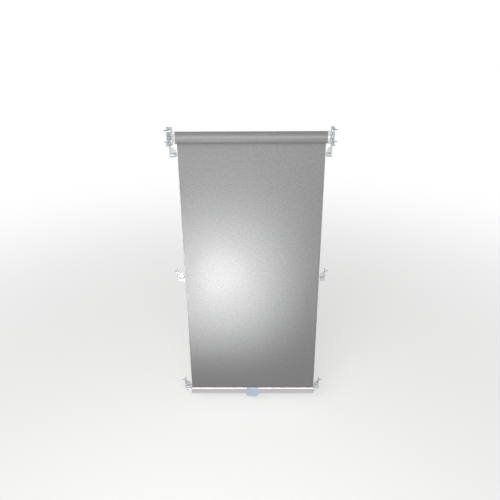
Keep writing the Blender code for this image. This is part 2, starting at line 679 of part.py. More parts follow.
def make_bar():
    """The hollow bottom rail, with a keyhole channel along its top for the hem."""
    outer = bar_outline(0, BAR_BOTTOM_Z, BAR_TOP_Z, BAR_CORNER)
    chamber = bar_outline(BAR_WALL, CHAMBER_BOTTOM_Z, CHAMBER_TOP_Z, BAR_CHAMBER_CORNER)
    bar = extruded("bottom_bar", [outer, chamber], FABRIC_WIDTH, at_x(0), ALUMINIUM, BAR_SLIDE)
    centre = (SHEET_Y - HEM_RADIUS, HEM_Z)
    round_part = arc(centre, HEM_POCKET_RADIUS, 0, math.tau, 24)[:-1]
    channel_length = FABRIC_WIDTH + 2 * CUT_OVERRUN
    channel = extruded("hem_channel", [round_part], channel_length, at_x(0))
    combine(bar, channel, "DIFFERENCE")
    half_slot = FABRIC_THICKNESS / 2 + BAR_SLOT_CLEARANCE
    low = (-channel_length / 2, SHEET_Y - half_slot, HEM_Z)
    high = (channel_length / 2, SHEET_Y + half_slot, BAR_TOP_Z + CUT_OVERRUN)
    combine(bar, box("hem_slot", low, high), "DIFFERENCE")
    profile = (
        (HALF_WIDTH, 0),
        (HALF_WIDTH, SPLINE_RADIUS),
        (-HALF_WIDTH, SPLINE_RADIUS),
        (-HALF_WIDTH, 0),
    )
    turned("fabric_spline", profile, 1, SMALL_STEPS, WHITE_PLASTIC, BAR_SLIDE, centre)


def make_bar_end(word, side):
    """The bar's end cap and the peg that stands out of it to the hook."""
    outline = bar_outline(0, BAR_BOTTOM_Z, BAR_TOP_Z, BAR_CORNER)
    centre_x = side * (BAR_CAP_BACK_X + BAR_CAP_FACE_X) / 2
    name = f"bar_end_cap_{word}"
    cap = extruded(name, [outline], BAR_CAP_THICKNESS, at_x(centre_x), WHITE_PLASTIC, BAR_SLIDE)
    inset = BAR_WALL + SEAT_GAP
    low_z = CHAMBER_BOTTOM_Z + SEAT_GAP
    high_z = CHAMBER_TOP_Z - SEAT_GAP
    plug = bar_outline(inset, low_z, high_z, BAR_CHAMBER_CORNER - SEAT_GAP)
    plug_outer = BAR_CAP_BACK_X + BAR_CAP_THICKNESS / 2
    plug_inner = BAR_CAP_BACK_X - BAR_CAP_PLUG_LENGTH
    plug_place = at_x(side * (plug_outer + plug_inner) / 2)
    combine(cap, extruded(f"{name}_plug", [plug], plug_outer - plug_inner, plug_place), "UNION")
    centre = (SHEET_Y, -DROP)
    hole = PEG_STEM_RADIUS + SEAT_GAP
    hole_outer = BAR_CAP_FACE_X + CUT_OVERRUN
    hole_inner = plug_inner - CUT_OVERRUN
    profile = ((hole_outer, 0), (hole_outer, hole), (hole_inner, hole), (hole_inner, 0))
    combine(cap, turned(f"{name}_hole", profile, side, SMALL_STEPS, centre=centre), "DIFFERENCE")
    face = BAR_CAP_FACE_X + SEAT_GAP
    tip = WALL_X[side] - HOOK_PLATE - PEG_END_CLEARANCE
    tip_round = PEG_RADIUS / 3
    profile = (
        (tip, 0),
        (tip, PEG_RADIUS - tip_round),
        (tip - tip_round, PEG_RADIUS),
        (face, PEG_RADIUS),
        (face, PEG_STEM_RADIUS),
        (face - PEG_STEM_LENGTH, PEG_STEM_RADIUS),
        (face - PEG_STEM_LENGTH, 0),
    )
    turned(f"bar_peg_{word}", profile, side, SMALL_STEPS, CLEAR_PLASTIC, BAR_SLIDE, centre)


def tab_outline(inset):
    """The handle's face seen from the room: nearly square at the top, round at the bottom."""
    half = HANDLE_WIDTH / 2 - inset
    top = BAR_TOP_Z - inset
    bottom = BAR_BOTTOM_Z - HANDLE_BELOW_BAR + inset
    big = HANDLE_CORNER - inset
    small = HANDLE_TOP_CORNER
    quarter = math.pi / 2
    points = arc((half - small, top - small), small, 0, quarter, 3)
    points += arc((-half + small, top - small), small, quarter, 2 * quarter, 3)
    points += arc((-half + big, bottom + big), big, 2 * quarter, 3 * quarter, 8)
    points += arc((half - big, bottom + big), big, 3 * quarter, 4 * quarter, 8)
    return points


def make_handle():
    """The pull tab on the bar's front, whose clip goes under the bar and up its back."""
    bar_front = SHEET_Y - BAR_DEPTH / 2
    back_y = bar_front - SEAT_GAP
    centre_y = back_y - HANDLE_THICKNESS / 2
    front_y = back_y - HANDLE_THICKNESS
    place_tab = Matrix.Translation((0, centre_y, 0)) @ ACROSS_Y
    handle = extruded("pull_handle", [tab_outline(0)], HANDLE_THICKNESS, place_tab, BLUE_PLASTIC, BAR_SLIDE)
    place_recess = Matrix.Translation((0, front_y, 0)) @ ACROSS_Y
    recess = extruded("handle_recess", [tab_outline(HANDLE_RIM)], 2 * HANDLE_RECESS, place_recess)
    combine(handle, recess, "DIFFERENCE")
    clip_back = SHEET_Y + BAR_DEPTH / 2 + SEAT_GAP
    inner_z = BAR_BOTTOM_Z - SEAT_GAP
    wall = HANDLE_CLIP_WALL
    sunk = HANDLE_THICKNESS / 2
    section = (
        (back_y - sunk, inner_z - wall),
        (clip_back + wall, inner_z - wall),
        (clip_back + wall, inner_z + HANDLE_CLIP_HEIGHT),
        (clip_back, inner_z + HANDLE_CLIP_HEIGHT),
        (clip_back, inner_z),
        (back_y - sunk, inner_z),
    )
    combine(handle, extruded("handle_clip", [section], HANDLE_CLIP_WIDTH, at_x(0)), "UNION")


def build():
    screw = screw_mesh()
    make_brackets(screw)
    for level, tip_z in (
        ("top", TOP_HOOK_TIP_Z),
        ("middle", MIDDLE_HOOK_TIP_Z),
        ("bottom", BOTTOM_HOOK_TIP_Z),
    ):
        for word, side in (("left", -1), ("right", 1)):
            make_hook(level, tip_z, word, side, screw)
    make_spindle()
    make_spring_motor()
    make_tube()
    make_winding()
    make_end_caps()
    make_idle_pin()
    make_sheet()
    make_bar()
    for word, side in (("left", -1), ("right", 1)):
        make_bar_end(word, side)
    make_handle()


build()
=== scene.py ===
# %% [markdown]
# A blackout roller blind hangs on clear brackets between two side walls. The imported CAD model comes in
# first as a fixed frame, in metres, with +Z up and -Y towards the room. Its box is kept, so that the
# finished pieces can be measured against it at the end.

# %% Load the frame
import math

import bmesh
import bpy
from mathutils import Matrix, Vector, kdtree


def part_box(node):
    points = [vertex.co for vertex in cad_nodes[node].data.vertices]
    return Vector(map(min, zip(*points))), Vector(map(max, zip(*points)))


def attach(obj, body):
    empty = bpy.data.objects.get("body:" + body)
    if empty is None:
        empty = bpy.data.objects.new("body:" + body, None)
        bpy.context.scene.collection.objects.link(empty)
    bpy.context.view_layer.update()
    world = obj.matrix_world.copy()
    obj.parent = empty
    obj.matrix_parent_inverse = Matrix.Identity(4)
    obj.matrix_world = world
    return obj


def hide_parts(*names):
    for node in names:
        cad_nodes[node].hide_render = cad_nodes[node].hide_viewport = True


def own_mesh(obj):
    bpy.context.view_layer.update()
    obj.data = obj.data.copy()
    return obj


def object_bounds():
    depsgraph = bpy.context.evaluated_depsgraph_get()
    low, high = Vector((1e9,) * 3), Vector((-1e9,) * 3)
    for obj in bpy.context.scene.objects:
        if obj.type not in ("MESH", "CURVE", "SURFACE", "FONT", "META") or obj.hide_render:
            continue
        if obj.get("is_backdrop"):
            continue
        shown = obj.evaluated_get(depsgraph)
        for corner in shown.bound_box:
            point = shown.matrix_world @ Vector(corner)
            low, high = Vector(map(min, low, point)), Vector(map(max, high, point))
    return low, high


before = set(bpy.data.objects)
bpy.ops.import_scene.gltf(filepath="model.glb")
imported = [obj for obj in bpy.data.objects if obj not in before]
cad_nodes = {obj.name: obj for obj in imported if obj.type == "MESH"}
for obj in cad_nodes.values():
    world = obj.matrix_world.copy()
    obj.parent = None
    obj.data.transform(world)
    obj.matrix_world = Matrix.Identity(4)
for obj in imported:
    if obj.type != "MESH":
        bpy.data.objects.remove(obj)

cad_box = [list(corner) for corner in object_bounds()]
print(len(cad_nodes), "CAD nodes in a box of", [round((b - a) * 1000, 1) for a, b in zip(*cad_box)], "mm")

# %% [markdown]
# A photograph can be matched by trying cameras until the known points land on their pixels. This one
# was solved from the roll, the cloth's edges and the bar. It stands 1.3 m away and looks 25 degrees
# down, which is why the cloth narrows towards its foot.

# %% Camera
CAMERA_PLACE = (0.0098, -1.2599, 0.3011)
CAMERA_YAW = 0.66
CAMERA_TILT = 64.99
CAMERA_ROLL = -0.39
CAMERA_LENS = 39.56

camera_turn = (
    Matrix.Rotation(math.radians(CAMERA_YAW), 4, "Z")
    @ Matrix.Rotation(math.radians(CAMERA_TILT), 4, "X")
    @ Matrix.Rotation(math.radians(CAMERA_ROLL), 4, "Z")
)
bpy.ops.object.camera_add(location=CAMERA_PLACE, rotation=camera_turn.to_euler())
camera = bpy.context.object
camera.data.sensor_width = 36
camera.data.lens = CAMERA_LENS
bpy.context.scene.camera = camera
bpy.context.scene.view_settings.view_transform = "Standard"
print("camera at", [round(value, 3) for value in camera.location])

# %% [markdown]
# Every finish below is a small graph of nodes. One helper adds a node with its settings and its links,
# and one turns the usual hex colours into the linear values that Blender works in. A material could
# also be painted as an image, but a graph stays sharp at any distance.

# %% Helpers for finishes
def from_hex(code):
    """A linear colour from an sRGB hex code."""
    channels = [int(code[index:index + 2], 16) / 255 for index in (1, 3, 5)]
    return (*[c / 12.92 if c <= 0.04045 else ((c + 0.055) / 1.055) ** 2.4 for c in channels], 1.0)


def add_node(owner, kind, settings=None, inputs=None):
    """Add a node; an input that is given a socket is linked, and any other value is set."""
    node = owner.node_tree.nodes.new(kind)
    for name, value in (settings or {}).items():
        setattr(node, name, value)
    for name, value in (inputs or {}).items():
        if isinstance(value, bpy.types.NodeSocket):
            owner.node_tree.links.new(value, node.inputs[name])
        else:
            node.inputs[name].default_value = value
    return node


def new_finish(name):
    """An empty material, ready for its nodes."""
    finish = bpy.data.materials.new(name)
    finish.use_nodes = True
    finish.node_tree.nodes.clear()
    return finish


print("white is", from_hex("#FFFFFF")[0])

# %% [markdown]
# The studio is a pale floor with white all round. Stronger lamps would whiten it too, but they would
# bleach the blind with it. So the floor glows a little by itself, and only for the camera, a gloss or a
# clear plastic that looks straight at it. It turns plain white further out, so it has no horizon, and
# keeps the blind's soft shadow close by.

# %% Floor
FLOOR_Z = -0.80
FLOOR_GLOW = 0.48
WHITE_FROM = 0.2
WHITE_BY = 2.6


def looked_at(owner):
    """1 for a ray from the camera, a gloss or a clear plastic, and 0 for all other light."""
    rays = add_node(owner, "ShaderNodeLightPath")
    seen = rays.outputs["Is Camera Ray"]
    for kind in ("Is Glossy Ray", "Is Transmission Ray"):
        either = add_node(owner, "ShaderNodeMath", {"operation": "ADD", "use_clamp": True}, {
            0: seen, 1: rays.outputs[kind],
        })
        seen = either.outputs[0]
    return seen


bpy.ops.object.select_all(action="DESELECT")
bpy.ops.mesh.primitive_plane_add(size=30, location=(0, 0, FLOOR_Z))
floor = bpy.context.object
floor.name = "floor"
floor_paint = new_finish("matt_white_floor_paint")
spot = add_node(floor_paint, "ShaderNodeTexCoord").outputs["Object"]
distance = add_node(floor_paint, "ShaderNodeVectorMath", {"operation": "LENGTH"}, {0: spot})
far = add_node(floor_paint, "ShaderNodeMapRange", {"interpolation_type": "SMOOTHERSTEP"}, {
    "Value": distance.outputs["Value"], "From Min": WHITE_FROM, "From Max": WHITE_BY,
})
seen = looked_at(floor_paint)
matt = add_node(floor_paint, "ShaderNodeBsdfDiffuse", {}, {"Color": from_hex("#DCDCDA")})
lift = add_node(floor_paint, "ShaderNodeMath", {"operation": "MULTIPLY"}, {0: seen, 1: FLOOR_GLOW})
glow = add_node(floor_paint, "ShaderNodeEmission", {}, {"Strength": lift.outputs[0]})
near = add_node(floor_paint, "ShaderNodeAddShader", {}, {0: matt.outputs[0], 1: glow.outputs[0]})
plain = add_node(floor_paint, "ShaderNodeEmission", {}, {"Strength": 1.0})
whiten = add_node(floor_paint, "ShaderNodeMath", {"operation": "MULTIPLY"}, {0: far.outputs[0], 1: seen})
mixed = add_node(floor_paint, "ShaderNodeMixShader", {}, {
    0: whiten.outputs[0], 1: near.outputs[0], 2: plain.outputs[0],
})
add_node(floor_paint, "ShaderNodeOutputMaterial", {}, {"Surface": mixed.outputs[0]})
floor.data.materials.append(floor_paint)
floor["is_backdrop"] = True
print("floor at", FLOOR_Z, "and white by", WHITE_BY, "m")

# %% [markdown]
# The world lights the blind softly from all round, which a ring of lamps could do as well. It does it
# at a low strength, and shows as plain white only where it is looked at.

# %% World
FILL_LIGHT = 0.31

studio = bpy.data.worlds.new("studio")
studio.use_nodes = True
studio.node_tree.nodes.clear()
fill = add_node(studio, "ShaderNodeBackground", {}, {"Color": (1, 1, 1, 1), "Strength": FILL_LIGHT})
backdrop = add_node(studio, "ShaderNodeBackground", {}, {"Color": (1, 1, 1, 1), "Strength": 1.0})
mixed = add_node(studio, "ShaderNodeMixShader", {}, {
    0: looked_at(studio), 1: fill.outputs[0], 2: backdrop.outputs[0],
})
add_node(studio, "ShaderNodeOutputWorld", {}, {"Surface": mixed.outputs[0]})
bpy.context.scene.world = studio
print("fill light", FILL_LIGHT)

# %% [markdown]
# In the photograph a soft light is mirrored by the satin cloth, left of its middle. A lamp could be
# moved about until it shows there, but a mirror's rule gives its place at once: it stands where a mirror
# in the cloth would send the camera's look. A long strip gives the roll its gloss and the bar its bright
# line, and two broad lamps, which no gloss sees, give the plain light.

# %% Lamps
SHEET_Y = 0.0139175
GLEAM = Vector((-0.082, SHEET_Y, -0.372))
GLEAM_LAMP_DISTANCE = 0.55
GLEAM_SPREAD = math.radians(56)
LAMP_HEIGHT = 0.30


def add_lamp(name, place, target, width, watts):
    """A soft lamp that faces its target and isn't itself seen."""
    bpy.ops.object.light_add(type="AREA", location=place)
    lamp = bpy.context.object
    lamp.name = name
    lamp.rotation_euler = (Vector(target) - Vector(place)).to_track_quat("-Z", "Y").to_euler()
    lamp.data.shape = "RECTANGLE"
    lamp.data.size = width
    lamp.data.size_y = LAMP_HEIGHT
    lamp.data.energy = watts
    lamp.visible_camera = False
    print(name, "at", [round(value, 2) for value in place])
    return lamp


look = (GLEAM - camera.location).normalized()
mirrored = Vector((look.x, -look.y, look.z))
gleam_place = GLEAM + mirrored * GLEAM_LAMP_DISTANCE
gleam_lamp = add_lamp("gleam_lamp", gleam_place, target=GLEAM, width=0.30, watts=1.27)
gleam_lamp.data.spread = GLEAM_SPREAD
strip_lamp = add_lamp("strip_lamp", (0.04, -0.96, 0.28), target=(0.03, 0, -0.16), width=1.6, watts=15.5)
front_lamp = add_lamp("front_lamp", (-0.38, -0.92, 0.40), target=(0, 0, -0.12), width=0.9, watts=3.7)
low_lamp = add_lamp("low_lamp", (-0.10, -1.10, 0.12), target=(0, 0, -0.12), width=0.9, watts=5.6)
for lamp in (gleam_lamp, strip_lamp):
    lamp.visible_diffuse = False
for lamp in (front_lamp, low_lamp):
    lamp.visible_glossy = False

# %% [markdown]
# The next helpers do by code what a hand does in the viewport. One clears the selection, one draws a
# line by extruding a single vertex from point to point, one fills and thickens an outline, and one
# spins a profile round the roller's direction. A curve could draw the same outlines, but the operators
# leave a plain mesh that the next step can select and bevel.

# %% Helpers for shapes
def select_only(piece):
    """Object mode, with one piece selected and active."""
    if bpy.context.mode != "OBJECT":
        bpy.ops.object.mode_set(mode="OBJECT")
    bpy.ops.object.select_all(action="DESELECT")
    piece.select_set(True)
    bpy.context.view_layer.objects.active = piece


def draw(name, points):
    """A line of points in edit mode: one vertex, extruded from point to point."""
    if bpy.context.mode != "OBJECT":
        bpy.ops.object.mode_set(mode="OBJECT")
    bpy.ops.object.select_all(action="DESELECT")
    bpy.ops.mesh.primitive_plane_add(size=0.01, location=(0, 0, 0))
    piece = bpy.context.object
    piece.name = name
    bpy.ops.object.mode_set(mode="EDIT")
    bpy.ops.mesh.select_mode(type="VERT")
    bpy.ops.mesh.merge(type="CENTER")
    bpy.ops.transform.translate(value=points[0])
    for before, after in zip(points, points[1:]):
        step = [b - a for a, b in zip(before, after)]
        bpy.ops.mesh.extrude_region_move(TRANSFORM_OT_translate={"value": step})
    bpy.ops.mesh.select_all(action="SELECT")
    return piece


def turn_outwards():
    """Merge doubles on the piece in edit mode and point its faces outwards."""
    bpy.ops.mesh.select_all(action="SELECT")
    bpy.ops.mesh.remove_doubles(threshold=0.000002)
    bpy.ops.mesh.normals_make_consistent(inside=False)
    bpy.ops.object.mode_set(mode="OBJECT")


def slab(name, points, push):
    """A closed outline, filled and pushed out to a solid."""
    piece = draw(name, points)
    bpy.ops.mesh.edge_face_add()
    bpy.ops.mesh.extrude_region_move(TRANSFORM_OT_translate={"value": push})
    turn_outwards()
    return piece


def turned(name, profile, side, steps, centre=(0, 0)):
    """A profile of (distance out along the roller, radius), spun about the roller's direction."""
    piece = draw(name, [(side * along, centre[0], centre[1] + radius) for along, radius in profile])
    bpy.ops.mesh.spin(steps=steps, angle=math.tau, center=(0, *centre), axis=(1, 0, 0))
    turn_outwards()
    return piece


def arc(centre, radius, start, end, steps):
    """Points along an arc, with its angles in degrees and both ends included."""
    angles = [math.radians(start + (end - start) * index / steps) for index in range(steps + 1)]
    return [(centre[0] + radius * math.cos(a), centre[1] + radius * math.sin(a)) for a in angles]


def rounded(low, high, radius, steps=8):
    """A rectangle with round corners, from two opposite corners."""
    centres = (
        (high[0] - radius, high[1] - radius),
        (low[0] + radius, high[1] - radius),
        (low[0] + radius, low[1] + radius),
        (high[0] - radius, low[1] + radius),
    )
    points = []
    for index, centre in enumerate(centres):
        points += arc(centre, radius, 90 * index, 90 * index + 90, steps)
    return points


def side_view(x, outline):
    """Points of (y, z) placed in the plane at x."""
    return [(x, y, z) for y, z in outline]


def front_view(y, outline):
    """Points of (x, z) placed in the plane at y."""
    return [(x, y, z) for x, z in outline]


print("a round corner has", len(rounded((0, 0), (1, 1), 0.2)), "points")

# %% [markdown]
# Moulded and extruded edges are never razor sharp. A Bevel modifier, limited to the sharp edges, gives
# each solid its small round edge, and a Boolean joins or cuts two solids. Smooth shading would let
# those small faces tilt the gloss of the long flat ones beside them, so the Weighted Normal modifier
# gives the large faces the say. All of them are applied, so that the finished mesh has nothing live on
# it. The last helper hands a piece over to the frame.

# %% Helpers for finishing
SHARP_ANGLE = math.radians(35)


def apply_modifier(piece, kind, **settings):
    """Add a modifier with its settings and apply it."""
    select_only(piece)
    modifier = piece.modifiers.new(kind.lower(), kind)
    for name, value in settings.items():
        setattr(modifier, name, value)
    bpy.ops.object.modifier_apply(modifier=modifier.name)


def join_or_cut(piece, tool, operation):
    """Join a tool to a piece or cut it away, then remove the tool."""
    apply_modifier(piece, "BOOLEAN", object=tool, operation=operation, solver="EXACT")
    bpy.data.objects.remove(tool, do_unlink=True)


def soften(piece, width, segments=2):
    """Round every sharp edge."""
    apply_modifier(
        piece, "BEVEL", width=width, segments=segments, limit_method="ANGLE", angle_limit=SHARP_ANGLE
    )
    piece["has_small_bevels"] = True


def keep(piece, finish, body, slot, *nodes):
    """Shade a piece, give it its finish, and let it stand for CAD nodes on a body."""
    select_only(piece)
    bpy.ops.object.transform_apply(location=True, rotation=True, scale=True)
    bpy.ops.object.shade_smooth_by_angle(angle=SHARP_ANGLE)
    if piece.pop("has_small_bevels", False):
        apply_modifier(piece, "WEIGHTED_NORMAL", keep_sharp=True)
    piece.data.materials.clear()
    piece.data.materials.append(finish)
    if nodes:
        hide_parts(*nodes)
    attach(piece, body)
    print(piece.name, len(piece.data.polygons), "faces for", ", ".join(nodes))


print("an edge is sharp past", round(math.degrees(SHARP_ANGLE)), "degrees")

# %% [markdown]
# Blackout cloth is a close polyester weave with an acrylic coat. The coat fills the weave, so light
# doesn't pass and the face has a satin gleam with a fine, even mottle. The threads are 0.3 mm apart,
# which is far below a pixel here, so they are drawn 0.7 mm apart, and the mottle is 3 to 7 mm across.
# Each thread goes over and under the next, so two waves multiplied about zero give the weave's relief.
# At scale 1, a Wave texture repeats every 20th of 2 pi. The pattern follows the cloth through its UV
# map, which holds metres of cloth.

# %% Finish of the cloth
THREAD_SPACING = 0.0007
WAVE_LENGTH = math.tau / 20

COATED_CLOTH = new_finish("coated_woven_polyester_blackout_cloth")
cloth_uv = add_node(COATED_CLOTH, "ShaderNodeUVMap", {"uv_map": "metres_of_cloth"}).outputs["UV"]
fine_mottle = add_node(COATED_CLOTH, "ShaderNodeTexNoise", {"noise_dimensions": "2D"}, {
    "Vector": cloth_uv, "Scale": 300.0, "Detail": 3.0, "Roughness": 0.6,
})
broad_mottle = add_node(COATED_CLOTH, "ShaderNodeTexNoise", {"noise_dimensions": "2D"}, {
    "Vector": cloth_uv, "Scale": 140.0, "Detail": 2.0,
})
mottle = add_node(COATED_CLOTH, "ShaderNodeMix", {"data_type": "FLOAT"}, {
    0: 0.25, 2: fine_mottle.outputs[0], 3: broad_mottle.outputs[0],
})
shade = add_node(COATED_CLOTH, "ShaderNodeValToRGB", {}, {0: mottle.outputs[0]})
shade.color_ramp.elements[0].position = 0.30
shade.color_ramp.elements[0].color = from_hex("#858586")
shade.color_ramp.elements[1].position = 0.70
shade.color_ramp.elements[1].color = from_hex("#9B9B9B")
waves = []
for direction in ("X", "Y"):
    threads = add_node(COATED_CLOTH, "ShaderNodeTexWave", {"bands_direction": direction}, {
        "Vector": cloth_uv, "Scale": WAVE_LENGTH / THREAD_SPACING, "Distortion": 0.6, "Detail": 1.0,
    })
    waves.append(add_node(COATED_CLOTH, "ShaderNodeMath", {"operation": "SUBTRACT"}, {
        0: threads.outputs["Fac"], 1: 0.5,
    }))
weave = add_node(COATED_CLOTH, "ShaderNodeMath", {"operation": "MULTIPLY"}, {
    0: waves[0].outputs[0], 1: waves[1].outputs[0],
})
relief = add_node(COATED_CLOTH, "ShaderNodeMath", {"operation": "MULTIPLY_ADD"}, {
    0: weave.outputs[0], 1: 2.0, 2: fine_mottle.outputs[0],
})
cloth_bump = add_node(COATED_CLOTH, "ShaderNodeBump", {}, {
    "Height": relief.outputs[0], "Strength": 0.22, "Distance": 0.0001,
})
satin = add_node(COATED_CLOTH, "ShaderNodeMapRange", {}, {
    "Value": fine_mottle.outputs[0], "To Min": 0.45, "To Max": 0.53,
})
cloth_shader = add_node(COATED_CLOTH, "ShaderNodeBsdfPrincipled", {}, {
    "Base Color": shade.outputs["Color"], "Roughness": satin.outputs[0],
    "Normal": cloth_bump.outputs[0], "IOR": 1.49, "Sheen Weight": 0.08, "Sheen Roughness": 0.4,
})
add_node(COATED_CLOTH, "ShaderNodeOutputMaterial", {}, {"Surface": cloth_shader.outputs[0]})
print(COATED_CLOTH.name, len(COATED_CLOTH.node_tree.nodes), "nodes")

# %% [markdown]
# Clear polycarbonate is injection moulded. It is bright and glass-like, with faint flow lines from the
# mould and slightly milky edges. Most of its light passes, so what stands behind it shows through. A
# bare glass shader would look too clean, so the flow lines vary its milk, its gloss and its relief.

# %% Finish of the clear mouldings
CLEAR_POLYCARBONATE = new_finish("injection_moulded_clear_polycarbonate")
spot = add_node(CLEAR_POLYCARBONATE, "ShaderNodeTexCoord").outputs["Object"]
flow_map = add_node(CLEAR_POLYCARBONATE, "ShaderNodeMapping", {}, {
    "Vector": spot, "Scale": (260.0, 260.0, 70.0),
})
flow = add_node(CLEAR_POLYCARBONATE, "ShaderNodeTexNoise", {}, {
    "Vector": flow_map.outputs[0], "Scale": 1.0, "Detail": 2.0,
})
milk = add_node(CLEAR_POLYCARBONATE, "ShaderNodeValToRGB", {}, {0: flow.outputs[0]})
milk.color_ramp.elements[0].color = from_hex("#C9CDD0")
milk.color_ramp.elements[1].color = from_hex("#E6E9EB")
clear_gloss = add_node(CLEAR_POLYCARBONATE, "ShaderNodeMapRange", {}, {
    "Value": flow.outputs[0], "To Min": 0.05, "To Max": 0.14,
})
flow_bump = add_node(CLEAR_POLYCARBONATE, "ShaderNodeBump", {}, {
    "Height": flow.outputs[0], "Strength": 0.12, "Distance": 0.0003,
})
clear_shader = add_node(CLEAR_POLYCARBONATE, "ShaderNodeBsdfPrincipled", {}, {
    "Base Color": milk.outputs["Color"], "Roughness": clear_gloss.outputs[0],
    "Normal": flow_bump.outputs[0], "IOR": 1.585, "Transmission Weight": 0.85,
})
add_node(CLEAR_POLYCARBONATE, "ShaderNodeOutputMaterial", {}, {"Surface": clear_shader.outputs[0]})
print(CLEAR_POLYCARBONATE.name, len(CLEAR_POLYCARBONATE.node_tree.nodes), "nodes")

# %% [markdown]
# The caps, plugs and clips are ABS and nylon. Their moulds are spark eroded, which leaves a fine even
# grain of about 0.3 mm, and a soft gloss over it. The three colours differ only in a few values, so one
# graph makes them all, each with its own grain, gloss and slight change of tone.

# %% Finishes of the plastic mouldings
def moulded_plastic(name, dark, light, gloss, grain, polish):
    """A moulded plastic of two close tones, with its roughness, its grain in metres and its polish."""
    finish = new_finish(name)
    spot = add_node(finish, "ShaderNodeTexCoord").outputs["Object"]
    tone = add_node(finish, "ShaderNodeTexNoise", {}, {"Vector": spot, "Scale": 120.0, "Detail": 2.0})
    colour = add_node(finish, "ShaderNodeValToRGB", {}, {0: tone.outputs[0]})
    colour.color_ramp.elements[0].position = 0.3
    colour.color_ramp.elements[0].color = from_hex(dark)
    colour.color_ramp.elements[1].position = 0.7
    colour.color_ramp.elements[1].color = from_hex(light)
    pits = add_node(finish, "ShaderNodeTexNoise", {}, {"Vector": spot, "Scale": 1 / grain, "Detail": 1.0})
    rough = add_node(finish, "ShaderNodeMapRange", {}, {
        "Value": pits.outputs[0], "To Min": gloss - 0.05, "To Max": gloss + 0.07,
    })
    bump = add_node(finish, "ShaderNodeBump", {}, {
        "Height": pits.outputs[0], "Strength": 0.15, "Distance": 0.0001,
    })
    shader = add_node(finish, "ShaderNodeBsdfPrincipled", {}, {
        "Base Color": colour.outputs["Color"], "Roughness": rough.outputs[0],
        "Normal": bump.outputs[0], "IOR": 1.54, "Coat Weight": polish, "Coat Roughness": 0.08,
    })
    add_node(finish, "ShaderNodeOutputMaterial", {}, {"Surface": shader.outputs[0]})
    print(name, dark, "to", light)
    return finish


WHITE_ABS = moulded_plastic(
    "injection_moulded_white_abs", "#E8E8E6", "#EFEFED", gloss=0.30, grain=0.0003, polish=0.2
)
BLUE_ABS = moulded_plastic(
    "injection_moulded_pale_blue_abs", "#D0E5FD", "#D6EBFF", gloss=0.28, grain=0.0003, polish=0.3
)
GREY_NYLON = moulded_plastic(
    "injection_moulded_grey_nylon", "#5F6366", "#72767A", gloss=0.45, grain=0.0004, polish=0.0
)

# %% [markdown]
# The tube and the bottom bar are drawn and extruded aluminium, and the bar is anodised to a satin
# silver. Extrusion leaves straight hairlines along the length, which pull each highlight into a streak.
# The hairlines are 0.05 mm wide on the real bar, and are drawn about 0.5 mm wide so that they show.

# %% Finishes of the aluminium
HAIRLINE_WIDTH = 0.0005


def extruded_aluminium(name, dark, light, low_gloss, high_gloss):
    """Aluminium with hairlines along X; the glosses are roughness values."""
    finish = new_finish(name)
    spot = add_node(finish, "ShaderNodeTexCoord").outputs["Object"]
    lines_map = add_node(finish, "ShaderNodeMapping", {}, {
        "Vector": spot, "Scale": (1.5, 1 / HAIRLINE_WIDTH, 1 / HAIRLINE_WIDTH),
    })
    lines = add_node(finish, "ShaderNodeTexNoise", {}, {
        "Vector": lines_map.outputs[0], "Scale": 1.0, "Detail": 2.0,
    })
    colour = add_node(finish, "ShaderNodeValToRGB", {}, {0: lines.outputs[0]})
    colour.color_ramp.elements[0].position = 0.3
    colour.color_ramp.elements[0].color = from_hex(dark)
    colour.color_ramp.elements[1].position = 0.7
    colour.color_ramp.elements[1].color = from_hex(light)
    rough = add_node(finish, "ShaderNodeMapRange", {}, {
        "Value": lines.outputs[0], "To Min": low_gloss, "To Max": high_gloss,
    })
    bump = add_node(finish, "ShaderNodeBump", {}, {
        "Height": lines.outputs[0], "Strength": 0.02, "Distance": 0.00002,
    })
    shader = add_node(finish, "ShaderNodeBsdfPrincipled", {}, {
        "Base Color": colour.outputs["Color"], "Roughness": rough.outputs[0],
        "Normal": bump.outputs[0], "Metallic": 1.0,
    })
    add_node(finish, "ShaderNodeOutputMaterial", {}, {"Surface": shader.outputs[0]})
    print(name, dark, "to", light)
    return finish


ANODISED_ALUMINIUM = extruded_aluminium(
    "extruded_satin_anodised_aluminium", "#C5C1C4", "#CDCACD", low_gloss=0.10, high_gloss=0.13
)
MILL_ALUMINIUM = extruded_aluminium(
    "drawn_mill_finish_aluminium", "#A9ABAD", "#C6C8CA", low_gloss=0.32, high_gloss=0.50
)

# %% [markdown]
# The screws and the spindle are steel with a thin zinc plating, and the springs are hard-drawn wire
# with a film of oil. Plating is grey and slightly cloudy, with a crystal bloom of 1 to 2 mm. The wire
# is darker, and its drawing marks run every way round the coil, so a plain cloud serves for both.

